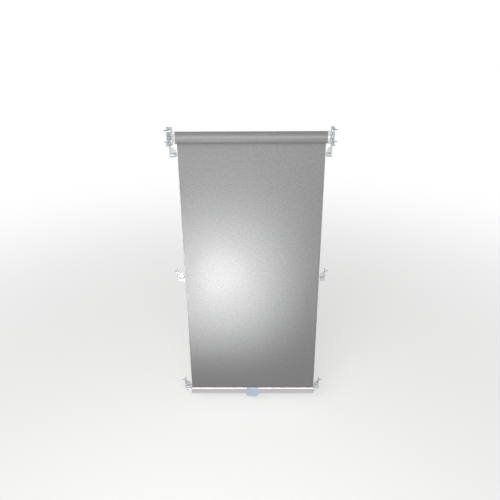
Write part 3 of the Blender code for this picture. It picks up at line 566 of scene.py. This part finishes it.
# %% Finishes of the steel
def plain_steel(name, dark, light, low_gloss, high_gloss, cloud):
    """Steel with a cloudy surface; the cloud is the bloom's size in metres."""
    finish = new_finish(name)
    spot = add_node(finish, "ShaderNodeTexCoord").outputs["Object"]
    bloom = add_node(finish, "ShaderNodeTexNoise", {}, {
        "Vector": spot, "Scale": 1 / cloud, "Detail": 3.0, "Roughness": 0.6,
    })
    colour = add_node(finish, "ShaderNodeValToRGB", {}, {0: bloom.outputs[0]})
    colour.color_ramp.elements[0].position = 0.35
    colour.color_ramp.elements[0].color = from_hex(dark)
    colour.color_ramp.elements[1].position = 0.65
    colour.color_ramp.elements[1].color = from_hex(light)
    rough = add_node(finish, "ShaderNodeMapRange", {}, {
        "Value": bloom.outputs[0], "To Min": low_gloss, "To Max": high_gloss,
    })
    bump = add_node(finish, "ShaderNodeBump", {}, {
        "Height": bloom.outputs[0], "Strength": 0.1, "Distance": 0.0001,
    })
    shader = add_node(finish, "ShaderNodeBsdfPrincipled", {}, {
        "Base Color": colour.outputs["Color"], "Roughness": rough.outputs[0],
        "Normal": bump.outputs[0], "Metallic": 1.0,
    })
    add_node(finish, "ShaderNodeOutputMaterial", {}, {"Surface": shader.outputs[0]})
    print(name, dark, "to", light)
    return finish


ZINC_PLATED_STEEL = plain_steel(
    "zinc_plated_steel", "#85878A", "#A9ABAE", low_gloss=0.28, high_gloss=0.42, cloud=0.0015
)
OILED_SPRING_STEEL = plain_steel(
    "oiled_hard_drawn_spring_steel", "#53565A", "#7B7F84", low_gloss=0.25, high_gloss=0.45, cloud=0.002
)

# %% [markdown]
# Three pieces of this blind are cloth: what is still wound on the tube, what hangs down, and its hem.
# Each is drawn as a line in the side view, pushed across the width in steps, given a UV map in metres,
# and then made 0.45 mm thick. A point's distance along the line gives its place on the uncut cloth, so
# the weave is the same size on all three, which an unwrap would have to be scaled to.

# %% Cloth from a line
FABRIC_WIDTH = 0.350
FABRIC_THICKNESS = 0.00045


def cloth_from_line(name, line, columns):
    """A sheet of cloth across the blind's width that follows a line of (y, z) points."""
    piece = draw(name, side_view(-FABRIC_WIDTH / 2, line))
    for _ in range(columns):
        step = (FABRIC_WIDTH / columns, 0, 0)
        bpy.ops.mesh.extrude_region_move(TRANSFORM_OT_translate={"value": step})
    bpy.ops.object.mode_set(mode="OBJECT")
    lengths = [0.0]
    for before, after in zip(line, line[1:]):
        lengths.append(lengths[-1] + math.dist(before, after))
    tree = kdtree.KDTree(len(line))
    for index, (y, z) in enumerate(line):
        tree.insert((0, y, z), index)
    tree.balance()
    uv_map = piece.data.uv_layers.new(name="metres_of_cloth")
    along = [lengths[tree.find((0, v.co.y, v.co.z))[1]] for v in piece.data.vertices]
    for loop in piece.data.loops:
        across = piece.data.vertices[loop.vertex_index].co.x
        uv_map.data[loop.index].uv = (across, along[loop.vertex_index])
    print(name, "is", round(lengths[-1], 3), "m long")
    return piece, lengths[-1]


# %% [markdown]
# The roll is one strip in a tight spiral. Five turns are left on the tube when the blind is down. The
# line starts at the back, where the hanging cloth leaves it, and goes up over the top. A plain cylinder
# would hide the winding at the roll's ends.

# %% Wound cloth
TUBE_RADIUS = 0.011
SEAT_GAP = 0.0003
WOUND_TURNS = 5
FACETS_PER_TURN = 96

roll_core = TUBE_RADIUS + SEAT_GAP + FABRIC_THICKNESS / 2
roll_pitch = (SHEET_Y - roll_core) / WOUND_TURNS
spiral = []
for index in range(WOUND_TURNS * FACETS_PER_TURN + 1):
    share = index / FACETS_PER_TURN
    radius = SHEET_Y - roll_pitch * share
    spiral.append((radius * math.cos(math.tau * share), radius * math.sin(math.tau * share)))
wound_cloth, wound_length = cloth_from_line("wound_cloth", spiral, columns=7)
apply_modifier(wound_cloth, "SOLIDIFY", thickness=FABRIC_THICKNESS, offset=0, use_even_offset=True)
keep(wound_cloth, COATED_CLOTH, "roller", "blackout_cloth", "fabric_roll")

# %% [markdown]
# The hanging cloth drops straight from the back of the roll, and its hem turns round a rod inside the
# bottom bar. Real cloth on a thin tube never hangs dead flat, so a very low ripple of a third of a
# millimetre fades out towards the roll and the bar. A cloth simulation would give the same flat fall.
# The hem is a piece of its own that goes up with the bar, because the sheet above it gets shorter as
# the bar rises, and a shortened hem would be crushed on its rod.

# %% Hanging cloth
SHEET_TOP = -0.0003
HEM_Z = -0.7341
HEM_RADIUS = 0.001525
HEM_TURN = 290
SHEET_ROWS = 73
RIPPLE_TOP = -0.03
RIPPLE_BOTTOM = -0.70
RIPPLE_FADE = 0.10
RIPPLE_WIDTH = 0.11
RIPPLE_HEIGHT = 0.0007

fall = [(SHEET_Y, SHEET_TOP + (HEM_Z - SHEET_TOP) * row / SHEET_ROWS) for row in range(SHEET_ROWS + 1)]
hanging_cloth, fall_length = cloth_from_line("hanging_cloth", fall, columns=35)
free = hanging_cloth.vertex_groups.new(name="free_of_the_roll_and_bar")
for vertex in hanging_cloth.data.vertices:
    fade = min(RIPPLE_TOP - vertex.co.z, vertex.co.z - RIPPLE_BOTTOM) / RIPPLE_FADE
    if fade > 0:
        free.add([vertex.index], min(fade, 1.0), "REPLACE")
ripple = bpy.data.textures.new("low_ripple", "CLOUDS")
ripple.noise_scale = RIPPLE_WIDTH
ripple.noise_depth = 0
apply_modifier(
    hanging_cloth, "DISPLACE", texture=ripple, texture_coords="LOCAL", direction="Y",
    strength=RIPPLE_HEIGHT, mid_level=0.5, vertex_group=free.name,
)
apply_modifier(hanging_cloth, "SOLIDIFY", thickness=FABRIC_THICKNESS, offset=0)
keep(hanging_cloth, COATED_CLOTH, "hanging_cloth", "blackout_cloth", "blackout_fabric")
hem_turn = arc((SHEET_Y - HEM_RADIUS, HEM_Z), HEM_RADIUS, 0, -HEM_TURN, 24)
cloth_hem, hem_length = cloth_from_line("cloth_hem", hem_turn, columns=7)
apply_modifier(cloth_hem, "SOLIDIFY", thickness=FABRIC_THICKNESS, offset=0, use_even_offset=True)
keep(cloth_hem, COATED_CLOTH, "bar", "blackout_cloth")
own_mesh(hanging_cloth)

# %% [markdown]
# A wood screw has a countersunk head with a cross recess, a smooth neck and a coarse thread. The body
# is turned, the thread is a small triangle wound round it with the Screw modifier, and the recess is
# cut by two crossed boxes. It is modelled once, along +X from its head, and copied to all ten places.

# %% One wood screw
SCREW_LENGTH = 0.0110
SCREW_HEAD_RADIUS = 0.0029
SCREW_NECK_RADIUS = 0.0015
SCREW_CORE_RADIUS = 0.0010
SCREW_PROFILE = (
    (SCREW_LENGTH, 0), (0.0092, SCREW_CORE_RADIUS), (0.0026, SCREW_CORE_RADIUS),
    (0.0023, SCREW_NECK_RADIUS), (0.0016, SCREW_NECK_RADIUS),
    (0.0002, SCREW_HEAD_RADIUS), (0, SCREW_HEAD_RADIUS - 0.0002), (0, 0),
)
THREAD_OUTLINE = ((0.0028, 0, 0.0009), (0.0032, 0, 0.0015), (0.0036, 0, 0.0009), (0.0028, 0, 0.0009))
THREAD_PITCH = 0.0012
THREAD_TURNS = 5
THREAD_STEPS = 16
RECESS_LENGTH = 0.0034
RECESS_WIDTH = 0.0008
RECESS_DEPTH = 0.0013

wood_screw = turned("wood_screw", SCREW_PROFILE, side=1, steps=32)
thread = draw("thread", THREAD_OUTLINE)
bpy.ops.mesh.remove_doubles(threshold=0.000002)
bpy.ops.object.mode_set(mode="OBJECT")
apply_modifier(
    thread, "SCREW", axis="X", screw_offset=THREAD_PITCH, iterations=THREAD_TURNS,
    steps=THREAD_STEPS, render_steps=THREAD_STEPS,
)
bpy.ops.object.mode_set(mode="EDIT")
bpy.ops.mesh.select_all(action="SELECT")
bpy.ops.mesh.fill_holes(sides=3)
turn_outwards()
join_or_cut(wood_screw, thread, "UNION")
for across, tall in ((RECESS_WIDTH, RECESS_LENGTH), (RECESS_LENGTH, RECESS_WIDTH)):
    bpy.ops.mesh.primitive_cube_add(size=1, location=(0, 0, 0), scale=(2 * RECESS_DEPTH, across, tall))
    join_or_cut(wood_screw, bpy.context.object, "DIFFERENCE")
print("wood_screw", len(wood_screw.data.polygons), "faces")

# %% [markdown]
# Each copy needs its own mesh, its own turn and its own place. The CAD node that it stands for says
# where the head is: its face lies on the side of the node's box that looks to the blind's middle.

# %% The ten screws
screw_nodes = sorted(name for name in cad_nodes if "_screw_" in name)
for name in screw_nodes:
    low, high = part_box(name)
    side = 1 if low.x > 0 else -1
    face_x = low.x if side > 0 else high.x
    select_only(wood_screw)
    bpy.ops.object.duplicate(linked=False)
    screw = bpy.context.object
    screw.name = f"wood_{name}"
    if side < 0:
        bpy.ops.transform.rotate(value=math.pi, orient_axis="Z", center_override=(0, 0, 0))
    bpy.ops.transform.translate(value=(face_x, (low.y + high.y) / 2, (low.z + high.z) / 2))
    keep(screw, ZINC_PLATED_STEEL, "sash_fittings", "zinc_plated_steel", name)
bpy.data.objects.remove(wood_screw, do_unlink=True)

# %% [markdown]
# A countersunk hole is a cone over a bore. The same cutter serves the brackets and the hooks, so it is
# a small function that takes the side and the hole's centre. The screws reach 8.5 mm past the plates and
# are the outermost pieces of the CAD model, so its box also says where the walls are.

# %% Countersunk hole
SIDES = {"left": -1, "right": 1}
SCREW_REACH = 0.0085
PLATE = 0.0025
HOLE_RADIUS = 0.0018
SINK_RADIUS = 0.0032
SINK_DEPTH = 0.0016
CUT_OVERRUN = 0.002
WALL_X = {-1: -cad_box[0][0] - SCREW_REACH, 1: cad_box[1][0] - SCREW_REACH}


def cut_screw_hole(piece, side, centre):
    """Cut a countersunk hole through a plate that lies on a side wall."""
    face_x = WALL_X[side] - PLATE
    profile = (
        (WALL_X[side] + CUT_OVERRUN, 0), (WALL_X[side] + CUT_OVERRUN, HOLE_RADIUS),
        (face_x + SINK_DEPTH, HOLE_RADIUS), (face_x, SINK_RADIUS),
        (face_x - CUT_OVERRUN, SINK_RADIUS), (face_x - CUT_OVERRUN, 0),
    )
    join_or_cut(piece, turned("screw_hole", profile, side, 32, centre), "DIFFERENCE")


print("side walls at", WALL_X)

# %% [markdown]
# A bracket is a clear tray with a tall rim, screwed to the side wall. It could be a box with a cut-out,
# but the way a moulder sees it is simpler: push the round-cornered plate out to its rim, inset the
# front, and push the floor back in. A boss in the middle then carries the roller's end.

# %% Brackets
RIM_X = 0.1835
RIM_WALL = 0.002
BRACKET_LOW = (-0.013, -0.0174)
BRACKET_HIGH = (0.013, 0.0244)
BRACKET_CORNER = 0.009
BOSS_X = 0.185
BOSS_RADIUS = 0.006


def make_bracket(name, side):
    """The clear tray of one side, with its boss but without the socket in it."""
    outline = rounded(BRACKET_LOW, BRACKET_HIGH, BRACKET_CORNER, 10)
    wall = side * WALL_X[side]
    bracket = slab(name, side_view(wall, outline), (side * RIM_X - wall, 0, 0))
    bpy.ops.object.mode_set(mode="EDIT")
    bpy.ops.mesh.select_mode(type="FACE")
    bpy.ops.mesh.select_all(action="DESELECT")
    mesh = bmesh.from_edit_mesh(bracket.data)
    for face in mesh.faces:
        face.select_set(face.normal.x * side < -0.9)
    bmesh.update_edit_mesh(bracket.data)
    bpy.ops.mesh.inset(thickness=RIM_WALL)
    depth = WALL_X[side] - PLATE - RIM_X
    bpy.ops.mesh.extrude_region_move(TRANSFORM_OT_translate={"value": (side * depth, 0, 0)})
    bpy.ops.mesh.select_all(action="SELECT")
    bpy.ops.mesh.normals_make_consistent(inside=False)
    bpy.ops.object.mode_set(mode="OBJECT")
    floor_x = WALL_X[side] - PLATE / 2
    boss = ((floor_x, 0), (floor_x, BOSS_RADIUS), (BOSS_X, BOSS_RADIUS), (BOSS_X, 0))
    join_or_cut(bracket, turned("boss", boss, side, 48), "UNION")
    return bracket


brackets = {word: make_bracket(f"bracket_{word}_moulding", side) for word, side in SIDES.items()}
print("each bracket is", round((BRACKET_HIGH[1] - BRACKET_LOW[1]) * 1000, 1), "mm tall")

# %% [markdown]
# The left boss has a slot for the spindle's flat tang, which keeps the spindle from turning, and the
# right one a round bore for the sprung pin. Both stop short of the wall, and so are cut by a box and a
# turned plug that reach just so far. The screw holes and the small round edges come last.

# %% Sockets and holes of the brackets
SOCKET_FLOOR = 0.0017
TANG_SLOT = (0.0031, 0.0066)
PIN_BORE_RADIUS = 0.0031
BRACKET_SCREWS_Z = (0.0173, -0.0103)

slot_end = -(WALL_X[-1] - SOCKET_FLOOR)
slot_start = -BOSS_X + CUT_OVERRUN
bpy.ops.object.select_all(action="DESELECT")
bpy.ops.mesh.primitive_cube_add(
    size=1, location=((slot_end + slot_start) / 2, 0, 0), scale=(slot_start - slot_end, *TANG_SLOT)
)
join_or_cut(brackets["left"], bpy.context.object, "DIFFERENCE")
bore_end = WALL_X[1] - SOCKET_FLOOR
bore_start = BOSS_X - CUT_OVERRUN
pin_bore = ((bore_end, 0), (bore_end, PIN_BORE_RADIUS), (bore_start, PIN_BORE_RADIUS), (bore_start, 0))
join_or_cut(brackets["right"], turned("pin_bore", pin_bore, 1, 48), "DIFFERENCE")
for word, bracket in brackets.items():
    for height in BRACKET_SCREWS_Z:
        cut_screw_hole(bracket, SIDES[word], (0, height))
    soften(bracket, width=0.0004)
    keep(bracket, CLEAR_POLYCARBONATE, "sash_fittings", "clear_plastic", f"bracket_{word}")

# %% [markdown]
# A hook is a clear plate with a claw that opens downwards, and a thin bowed web that stiffens it. The
# bar's peg rises behind the claw's nose. The plate, claw and web are plain solids that are joined, which
# is easier to change than one long outline. A hook is made for each side and copied to three heights.

# %% Hooks
HOOK_HEIGHT = 0.034
HOOK_CORNER = 0.0045
HOOK_FRONT_Y = SHEET_Y + 0.0030
HOOK_BACK_Y = HOOK_FRONT_Y + 0.0130
HOOK_INNER_X = 0.1775
HOOK_SCREW_DROP = 0.0072
CLAW_RADIUS = 0.0056
CLAW_SEAT_RADIUS = 0.0032
NOSE_LENGTH = 0.0045
WEB_HEIGHT = 0.0135
WEB_THICKNESS = 0.004
HOOK_TIPS = {"top": -0.0517, "middle": -0.385, "bottom": -0.738}


def make_hook(name, side):
    """A hook of one side with the tip of its claw at height zero."""
    wall = side * WALL_X[side]
    face_x = WALL_X[side] - PLATE
    root_x = face_x + PLATE / 2
    plate = rounded((HOOK_FRONT_Y, 0), (HOOK_BACK_Y, HOOK_HEIGHT), HOOK_CORNER)
    hook = slab(name, side_view(wall, plate), (side * face_x - wall, 0, 0))
    middle = (HOOK_FRONT_Y + CLAW_RADIUS, NOSE_LENGTH)
    lip = (CLAW_RADIUS - CLAW_SEAT_RADIUS) / 2
    claw = arc((HOOK_FRONT_Y + lip, lip), lip, 180, 360, 8)
    claw += arc(middle, CLAW_SEAT_RADIUS, 180, 0, 20)
    claw += arc((HOOK_FRONT_Y + 2 * CLAW_RADIUS - lip, lip), lip, 180, 360, 8)
    claw += arc(middle, CLAW_RADIUS, 0, 180, 24)
    push = (side * (HOOK_INNER_X - root_x), 0, 0)
    join_or_cut(hook, slab("claw", side_view(side * root_x, claw), push), "UNION")
    reach = root_x - HOOK_INNER_X - lip
    web_low = NOSE_LENGTH + CLAW_RADIUS - lip
    bow = arc((0, 0), 1, 0, 90, 16)
    web = [(side * root_x, web_low)]
    web += [(side * (root_x - reach * u), web_low + WEB_HEIGHT * v) for u, v in bow]
    web_face = front_view(middle[0] - WEB_THICKNESS / 2, web)
    join_or_cut(hook, slab("web", web_face, (0, WEB_THICKNESS, 0)), "UNION")
    cut_screw_hole(hook, side, ((HOOK_FRONT_Y + HOOK_BACK_Y) / 2, HOOK_HEIGHT - HOOK_SCREW_DROP))
    soften(hook, width=0.0003)
    return hook


for word, side in SIDES.items():
    hook = make_hook(f"hook_{word}_model", side)
    for level, tip in HOOK_TIPS.items():
        select_only(hook)
        bpy.ops.object.duplicate(linked=False)
        copy = bpy.context.object
        copy.name = f"hook_{level}_{word}_moulding"
        bpy.ops.transform.translate(value=(0, 0, tip))
        keep(copy, CLEAR_POLYCARBONATE, "sash_fittings", "clear_plastic", f"hook_{level}_{word}")
    bpy.data.objects.remove(hook, do_unlink=True)

# %% [markdown]
# The tube is closed by two white caps that are turned round the roller's axis. The spring's end has a
# dome that runs down to a hub, and the other end has a flat disc. Their profiles are drawn with round
# edges, since the bright flange beside the cloth is what the eye catches.

# %% End caps of the roller
HALF_WIDTH = FABRIC_WIDTH / 2
FLANGE_BACK = HALF_WIDTH + SEAT_GAP
FLANGE_RADIUS = 0.0146
FLANGE_EDGE = 0.0003
HUB_FACE = 0.1833
HUB_RADIUS = 0.0062
HUB_EDGE = 0.0004
CAP_BORE = 0.0031
CAP_FLOOR_X = HALF_WIDTH - 0.003
PLUG_RADIUS = 0.0097


def turn_cap(name, face, plug_end, hollow, side):
    """A cap, turned from its bore, hub and face, over its flange, to its plug inside the tube and back."""
    profile = [
        (HUB_FACE, CAP_BORE), (HUB_FACE, HUB_RADIUS - HUB_EDGE), (HUB_FACE - HUB_EDGE, HUB_RADIUS), *face,
        (FLANGE_BACK + FLANGE_EDGE, FLANGE_RADIUS), (FLANGE_BACK, FLANGE_RADIUS - FLANGE_EDGE),
        (FLANGE_BACK, PLUG_RADIUS), (plug_end, PLUG_RADIUS), (plug_end, hollow),
        (CAP_FLOOR_X, hollow), (CAP_FLOOR_X, CAP_BORE), (HUB_FACE, CAP_BORE),
    ]
    return turned(name, profile, side, steps=96)


DOME_EDGE = 0.0010
dome = [
    (0.1812, 0.0066), (0.1803, 0.0076), (0.1795, 0.0090), (0.1788, 0.0106), (0.1783, 0.0120),
    (0.1780, 0.0128), (0.1779, 0.0136), *arc((0.1779 - DOME_EDGE, 0.0136), DOME_EDGE, 0, 90, 6),
]
drive_cap = turn_cap("drive_cap_moulding", dome, plug_end=0.155, hollow=0.0082, side=-1)
keep(drive_cap, WHITE_ABS, "roller", "white_plastic", "drive_end_cap")

DISC_X = FLANGE_BACK + 0.0052
DISC_EDGE = 0.0008
GROOVE_X = DISC_X - 0.0004
PIN_POCKET_GAP = 0.0004
disc = [
    (DISC_X, 0.0066), (DISC_X, 0.0112), (GROOVE_X, 0.0115), (GROOVE_X, 0.0121), (DISC_X, 0.0124),
    (DISC_X, 0.0138), *arc((DISC_X - DISC_EDGE, 0.0138), DISC_EDGE, 0, 90, 5),
]
idle_plug_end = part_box("idle_end_cap")[0].x
pin_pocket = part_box("idle_pin")[1].z + PIN_POCKET_GAP
idle_cap = turn_cap("idle_cap_moulding", disc, plug_end=idle_plug_end, hollow=pin_pocket, side=1)
keep(idle_cap, WHITE_ABS, "roller", "white_plastic", "idle_end_cap")

# %% [markdown]
# The bottom bar is one aluminium extrusion: a soft-cornered box with a keyhole channel along its top,
# where the hem and its rod slide in from the end. The whole section is drawn once, slot and channel
# included, and pushed across the width. The closed chamber below is then cut through it.

# %% Bottom bar
BAR_TOP = -0.73075
BAR_BOTTOM = -0.75125
BAR_HALF_DEPTH = 0.0045
BAR_CORNER = 0.0035
BAR_CORNER_STEPS = 10
BAR_WALL = 0.0011
CHAMBER_CORNER = 0.0022
POCKET_RADIUS = 0.00205
SLOT_HALF = 0.000625


def in_bar(inset, low_z, high_z, corner, steps=8):
    """A round-cornered section that lies in from the bar's front and back by an inset."""
    half = BAR_HALF_DEPTH - inset
    return rounded((SHEET_Y - half, low_z), (SHEET_Y + half, high_z), corner, steps)


hem_y = SHEET_Y - HEM_RADIUS
meets = math.degrees(math.acos((HEM_RADIUS - SLOT_HALF) / POCKET_RADIUS))
outer = in_bar(0, BAR_BOTTOM, BAR_TOP, BAR_CORNER, BAR_CORNER_STEPS)
back_corner, rest = outer[:BAR_CORNER_STEPS + 1], outer[BAR_CORNER_STEPS + 1:]
section = [(SHEET_Y + SLOT_HALF, BAR_TOP), *back_corner[::-1], *rest[::-1], (SHEET_Y - SLOT_HALF, BAR_TOP)]
section += arc((hem_y, HEM_Z), POCKET_RADIUS, meets, 360, 32) + [(SHEET_Y + SLOT_HALF, HEM_Z)]
bar = slab("bottom_bar_extrusion", side_view(-HALF_WIDTH, section), (FABRIC_WIDTH, 0, 0))
chamber_low = BAR_BOTTOM + BAR_WALL
chamber_high = HEM_Z - POCKET_RADIUS - BAR_WALL
chamber = side_view(-HALF_WIDTH - CUT_OVERRUN, in_bar(BAR_WALL, chamber_low, chamber_high, CHAMBER_CORNER))
join_or_cut(bar, slab("chamber", chamber, (FABRIC_WIDTH + 2 * CUT_OVERRUN, 0, 0)), "DIFFERENCE")
soften(bar, width=0.0002)
keep(bar, ANODISED_ALUMINIUM, "bar", "aluminium", "bottom_bar")

# %% [markdown]
# A white cap plugs each end of the bar, and a clear peg sits in it, which reaches out to the hooks. The
# cap's plate and plug are two outlines of the bar's own section, joined, with the peg's hole cut
# through them. The peg is turned, with a round tip so that it finds its hook.

# %% Bar ends
DROP = 0.741
PEG_AXIS = (SHEET_Y, -DROP)
CAP_BACK = HALF_WIDTH + SEAT_GAP
CAP_PLATE = 0.0014
CAP_PLUG_LENGTH = 0.012
CAP_OVERLAP = 0.0007
PEG_HOLE_RADIUS = 0.0017
PEG_HOLE_ENDS = (0.180, 0.160)
PEG_RADIUS = 0.0025
PEG_ROUND = 0.0008
PEG_EDGE = 0.0002
PEG_STEM_RADIUS = 0.0014
PEG_STEM_LENGTH = 0.010
PEG_END_GAP = 0.0020


def make_bar_cap(word, side):
    """The cap at one end of the bar, with the hole for its peg."""
    plate = in_bar(0, BAR_BOTTOM, BAR_TOP, BAR_CORNER, BAR_CORNER_STEPS)
    cap = slab(f"bar_cap_{word}_moulding", side_view(side * CAP_BACK, plate), (side * CAP_PLATE, 0, 0))
    plug = in_bar(
        BAR_WALL + SEAT_GAP, chamber_low + SEAT_GAP, chamber_high - SEAT_GAP, CHAMBER_CORNER - SEAT_GAP
    )
    plug_face = side_view(side * (CAP_BACK + CAP_OVERLAP), plug)
    push = (-side * (CAP_PLUG_LENGTH + CAP_OVERLAP), 0, 0)
    join_or_cut(cap, slab("plug", plug_face, push), "UNION")
    outer_end, inner_end = PEG_HOLE_ENDS
    hole = ((outer_end, 0), (outer_end, PEG_HOLE_RADIUS), (inner_end, PEG_HOLE_RADIUS), (inner_end, 0))
    join_or_cut(cap, turned("peg_hole", hole, side, 32, PEG_AXIS), "DIFFERENCE")
    soften(cap, width=0.00025)
    keep(cap, WHITE_ABS, "bar", "white_plastic", f"bar_end_cap_{word}")


def make_bar_peg(word, side):
    """The peg at one end of the bar: a round tip, a shoulder against the cap, and a stem in its hole."""
    tip = WALL_X[side] - PLATE - PEG_END_GAP
    shoulder = CAP_BACK + CAP_PLATE + SEAT_GAP
    stem_end = shoulder - PEG_STEM_LENGTH
    profile = [(tip, 0), *arc((tip - PEG_ROUND, PEG_RADIUS - PEG_ROUND), PEG_ROUND, 0, 90, 5)]
    profile += [(shoulder + PEG_EDGE, PEG_RADIUS), (shoulder, PEG_RADIUS - PEG_EDGE)]
    profile += [(shoulder, PEG_STEM_RADIUS), (stem_end, PEG_STEM_RADIUS), (stem_end, 0)]
    peg = turned(f"bar_peg_{word}_moulding", profile, side, 48, PEG_AXIS)
    keep(peg, CLEAR_POLYCARBONATE, "bar", "clear_plastic", f"bar_peg_{word}")


for word, side in SIDES.items():
    make_bar_cap(word, side)
    make_bar_peg(word, side)

# %% [markdown]
# The pull handle is a pale blue tab with a raised rim, nearly square at the top and round at the foot.
# Its face is drawn in the front view and pushed forwards, the shallow recess is cut with a smaller
# outline of the same shape, and the clip that grips the bar from below is joined on behind.

# %% Pull handle
TAB_HALF_WIDTH = 0.018
TAB_DROP = 0.0075
TAB_FOOT_RADIUS = 0.011
TAB_TOP_RADIUS = 0.002
TAB_THICKNESS = 0.0026
TAB_RIM = 0.0022
TAB_RECESS = 0.0006
CLIP_HALF_WIDTH = 0.015
CLIP_WALL = 0.002
CLIP_HEIGHT = 0.010
CLIP_OVERLAP = 0.0013


def tab_outline(inset):
    """The handle's face in the front view, drawn in by an inset."""
    half = TAB_HALF_WIDTH - inset
    top = BAR_TOP - inset
    bottom = BAR_BOTTOM - TAB_DROP + inset
    big = TAB_FOOT_RADIUS - inset
    small = TAB_TOP_RADIUS
    points = arc((half - small, top - small), small, 0, 90, 6)
    points += arc((-half + small, top - small), small, 90, 180, 6)
    points += arc((-half + big, bottom + big), big, 180, 270, 14)
    points += arc((half - big, bottom + big), big, 270, 360, 14)
    return points


tab_back = SHEET_Y - BAR_HALF_DEPTH - SEAT_GAP
tab_front = tab_back - TAB_THICKNESS
handle = slab("pull_handle_moulding", front_view(tab_back, tab_outline(0)), (0, -TAB_THICKNESS, 0))
recess = slab("recess", front_view(tab_front + TAB_RECESS, tab_outline(TAB_RIM)), (0, -CUT_OVERRUN, 0))
join_or_cut(handle, recess, "DIFFERENCE")
clip_front = tab_back - CLIP_OVERLAP
clip_back = SHEET_Y + BAR_HALF_DEPTH + SEAT_GAP
clip_low = BAR_BOTTOM - SEAT_GAP
grip = [
    (clip_front, clip_low - CLIP_WALL), (clip_back + CLIP_WALL, clip_low - CLIP_WALL),
    (clip_back + CLIP_WALL, clip_low + CLIP_HEIGHT), (clip_back, clip_low + CLIP_HEIGHT),
    (clip_back, clip_low), (clip_front, clip_low),
]
join_or_cut(handle, slab("grip", side_view(-CLIP_HALF_WIDTH, grip), (2 * CLIP_HALF_WIDTH, 0, 0)), "UNION")
soften(handle, width=0.0004, segments=3)
keep(handle, BLUE_ABS, "bar", "pale_blue_plastic", "pull_handle")

# %% [markdown]
# Both springs are round wire wound into a coil. A small circle, set at the coil's radius, is swept by
# the Screw modifier, and its two open ends are closed. The pin's spring is short and gets pressed
# together as the pin goes in.

# %% Springs
COIL_STEPS = 32
WIRE_SIDES = 12


def make_coil(name, node, wire, radius, turns):
    """A coil that fills the length of the CAD node it stands for; the wire is given by its radius."""
    low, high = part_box(node)
    length = high.x - low.x - 2 * wire
    bpy.ops.object.select_all(action="DESELECT")
    bpy.ops.mesh.primitive_circle_add(
        vertices=WIRE_SIDES, radius=wire, location=(low.x + wire, 0, radius), rotation=(math.pi / 2, 0, 0)
    )
    coil = bpy.context.object
    coil.name = name
    bpy.ops.object.transform_apply(location=True, rotation=True, scale=True)
    apply_modifier(
        coil, "SCREW", axis="X", screw_offset=length / turns, iterations=turns,
        steps=COIL_STEPS, render_steps=COIL_STEPS,
    )
    bpy.ops.object.mode_set(mode="EDIT")
    bpy.ops.mesh.select_all(action="SELECT")
    bpy.ops.mesh.fill_holes(sides=WIRE_SIDES)
    turn_outwards()
    return coil


torsion_coil = make_coil("torsion_spring_wire", "torsion_spring", wire=0.0006, radius=0.0072, turns=15)
keep(torsion_coil, OILED_SPRING_STEEL, "sash_fittings", "spring_steel", "torsion_spring")
pin_coil = make_coil("pin_spring_wire", "pin_spring", wire=0.0004, radius=0.0031, turns=6)
keep(pin_coil, OILED_SPRING_STEEL, "roller", "spring_steel", "pin_spring")
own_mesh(pin_coil)

# %% [markdown]
# What is left of the CAD model already has the right shape: the tube, the spindle, the plugs inside it,
# the pin and the hem's rod. These keep their meshes and only get a better finish.

# %% Finishes of the CAD pieces that stay
STAYING = {
    "roller_tube": MILL_ALUMINIUM,
    "spring_spindle": ZINC_PLATED_STEEL,
    "spring_anchor": GREY_NYLON,
    "spring_driver": GREY_NYLON,
    "idle_pin": WHITE_ABS,
    "pin_spring_seat": WHITE_ABS,
    "fabric_spline": WHITE_ABS,
}
for name, finish in STAYING.items():
    cad_nodes[name].data.materials.clear()
    cad_nodes[name].data.materials.append(finish)
print(len(STAYING), "CAD pieces refinished")

# %% Measure against the CAD box
dressed_box = [list(corner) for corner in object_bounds()]
for corner, cad_corner in zip(dressed_box, cad_box):
    print("stands proud by", [round((a - b) * 1000, 2) for a, b in zip(corner, cad_corner)], "mm")
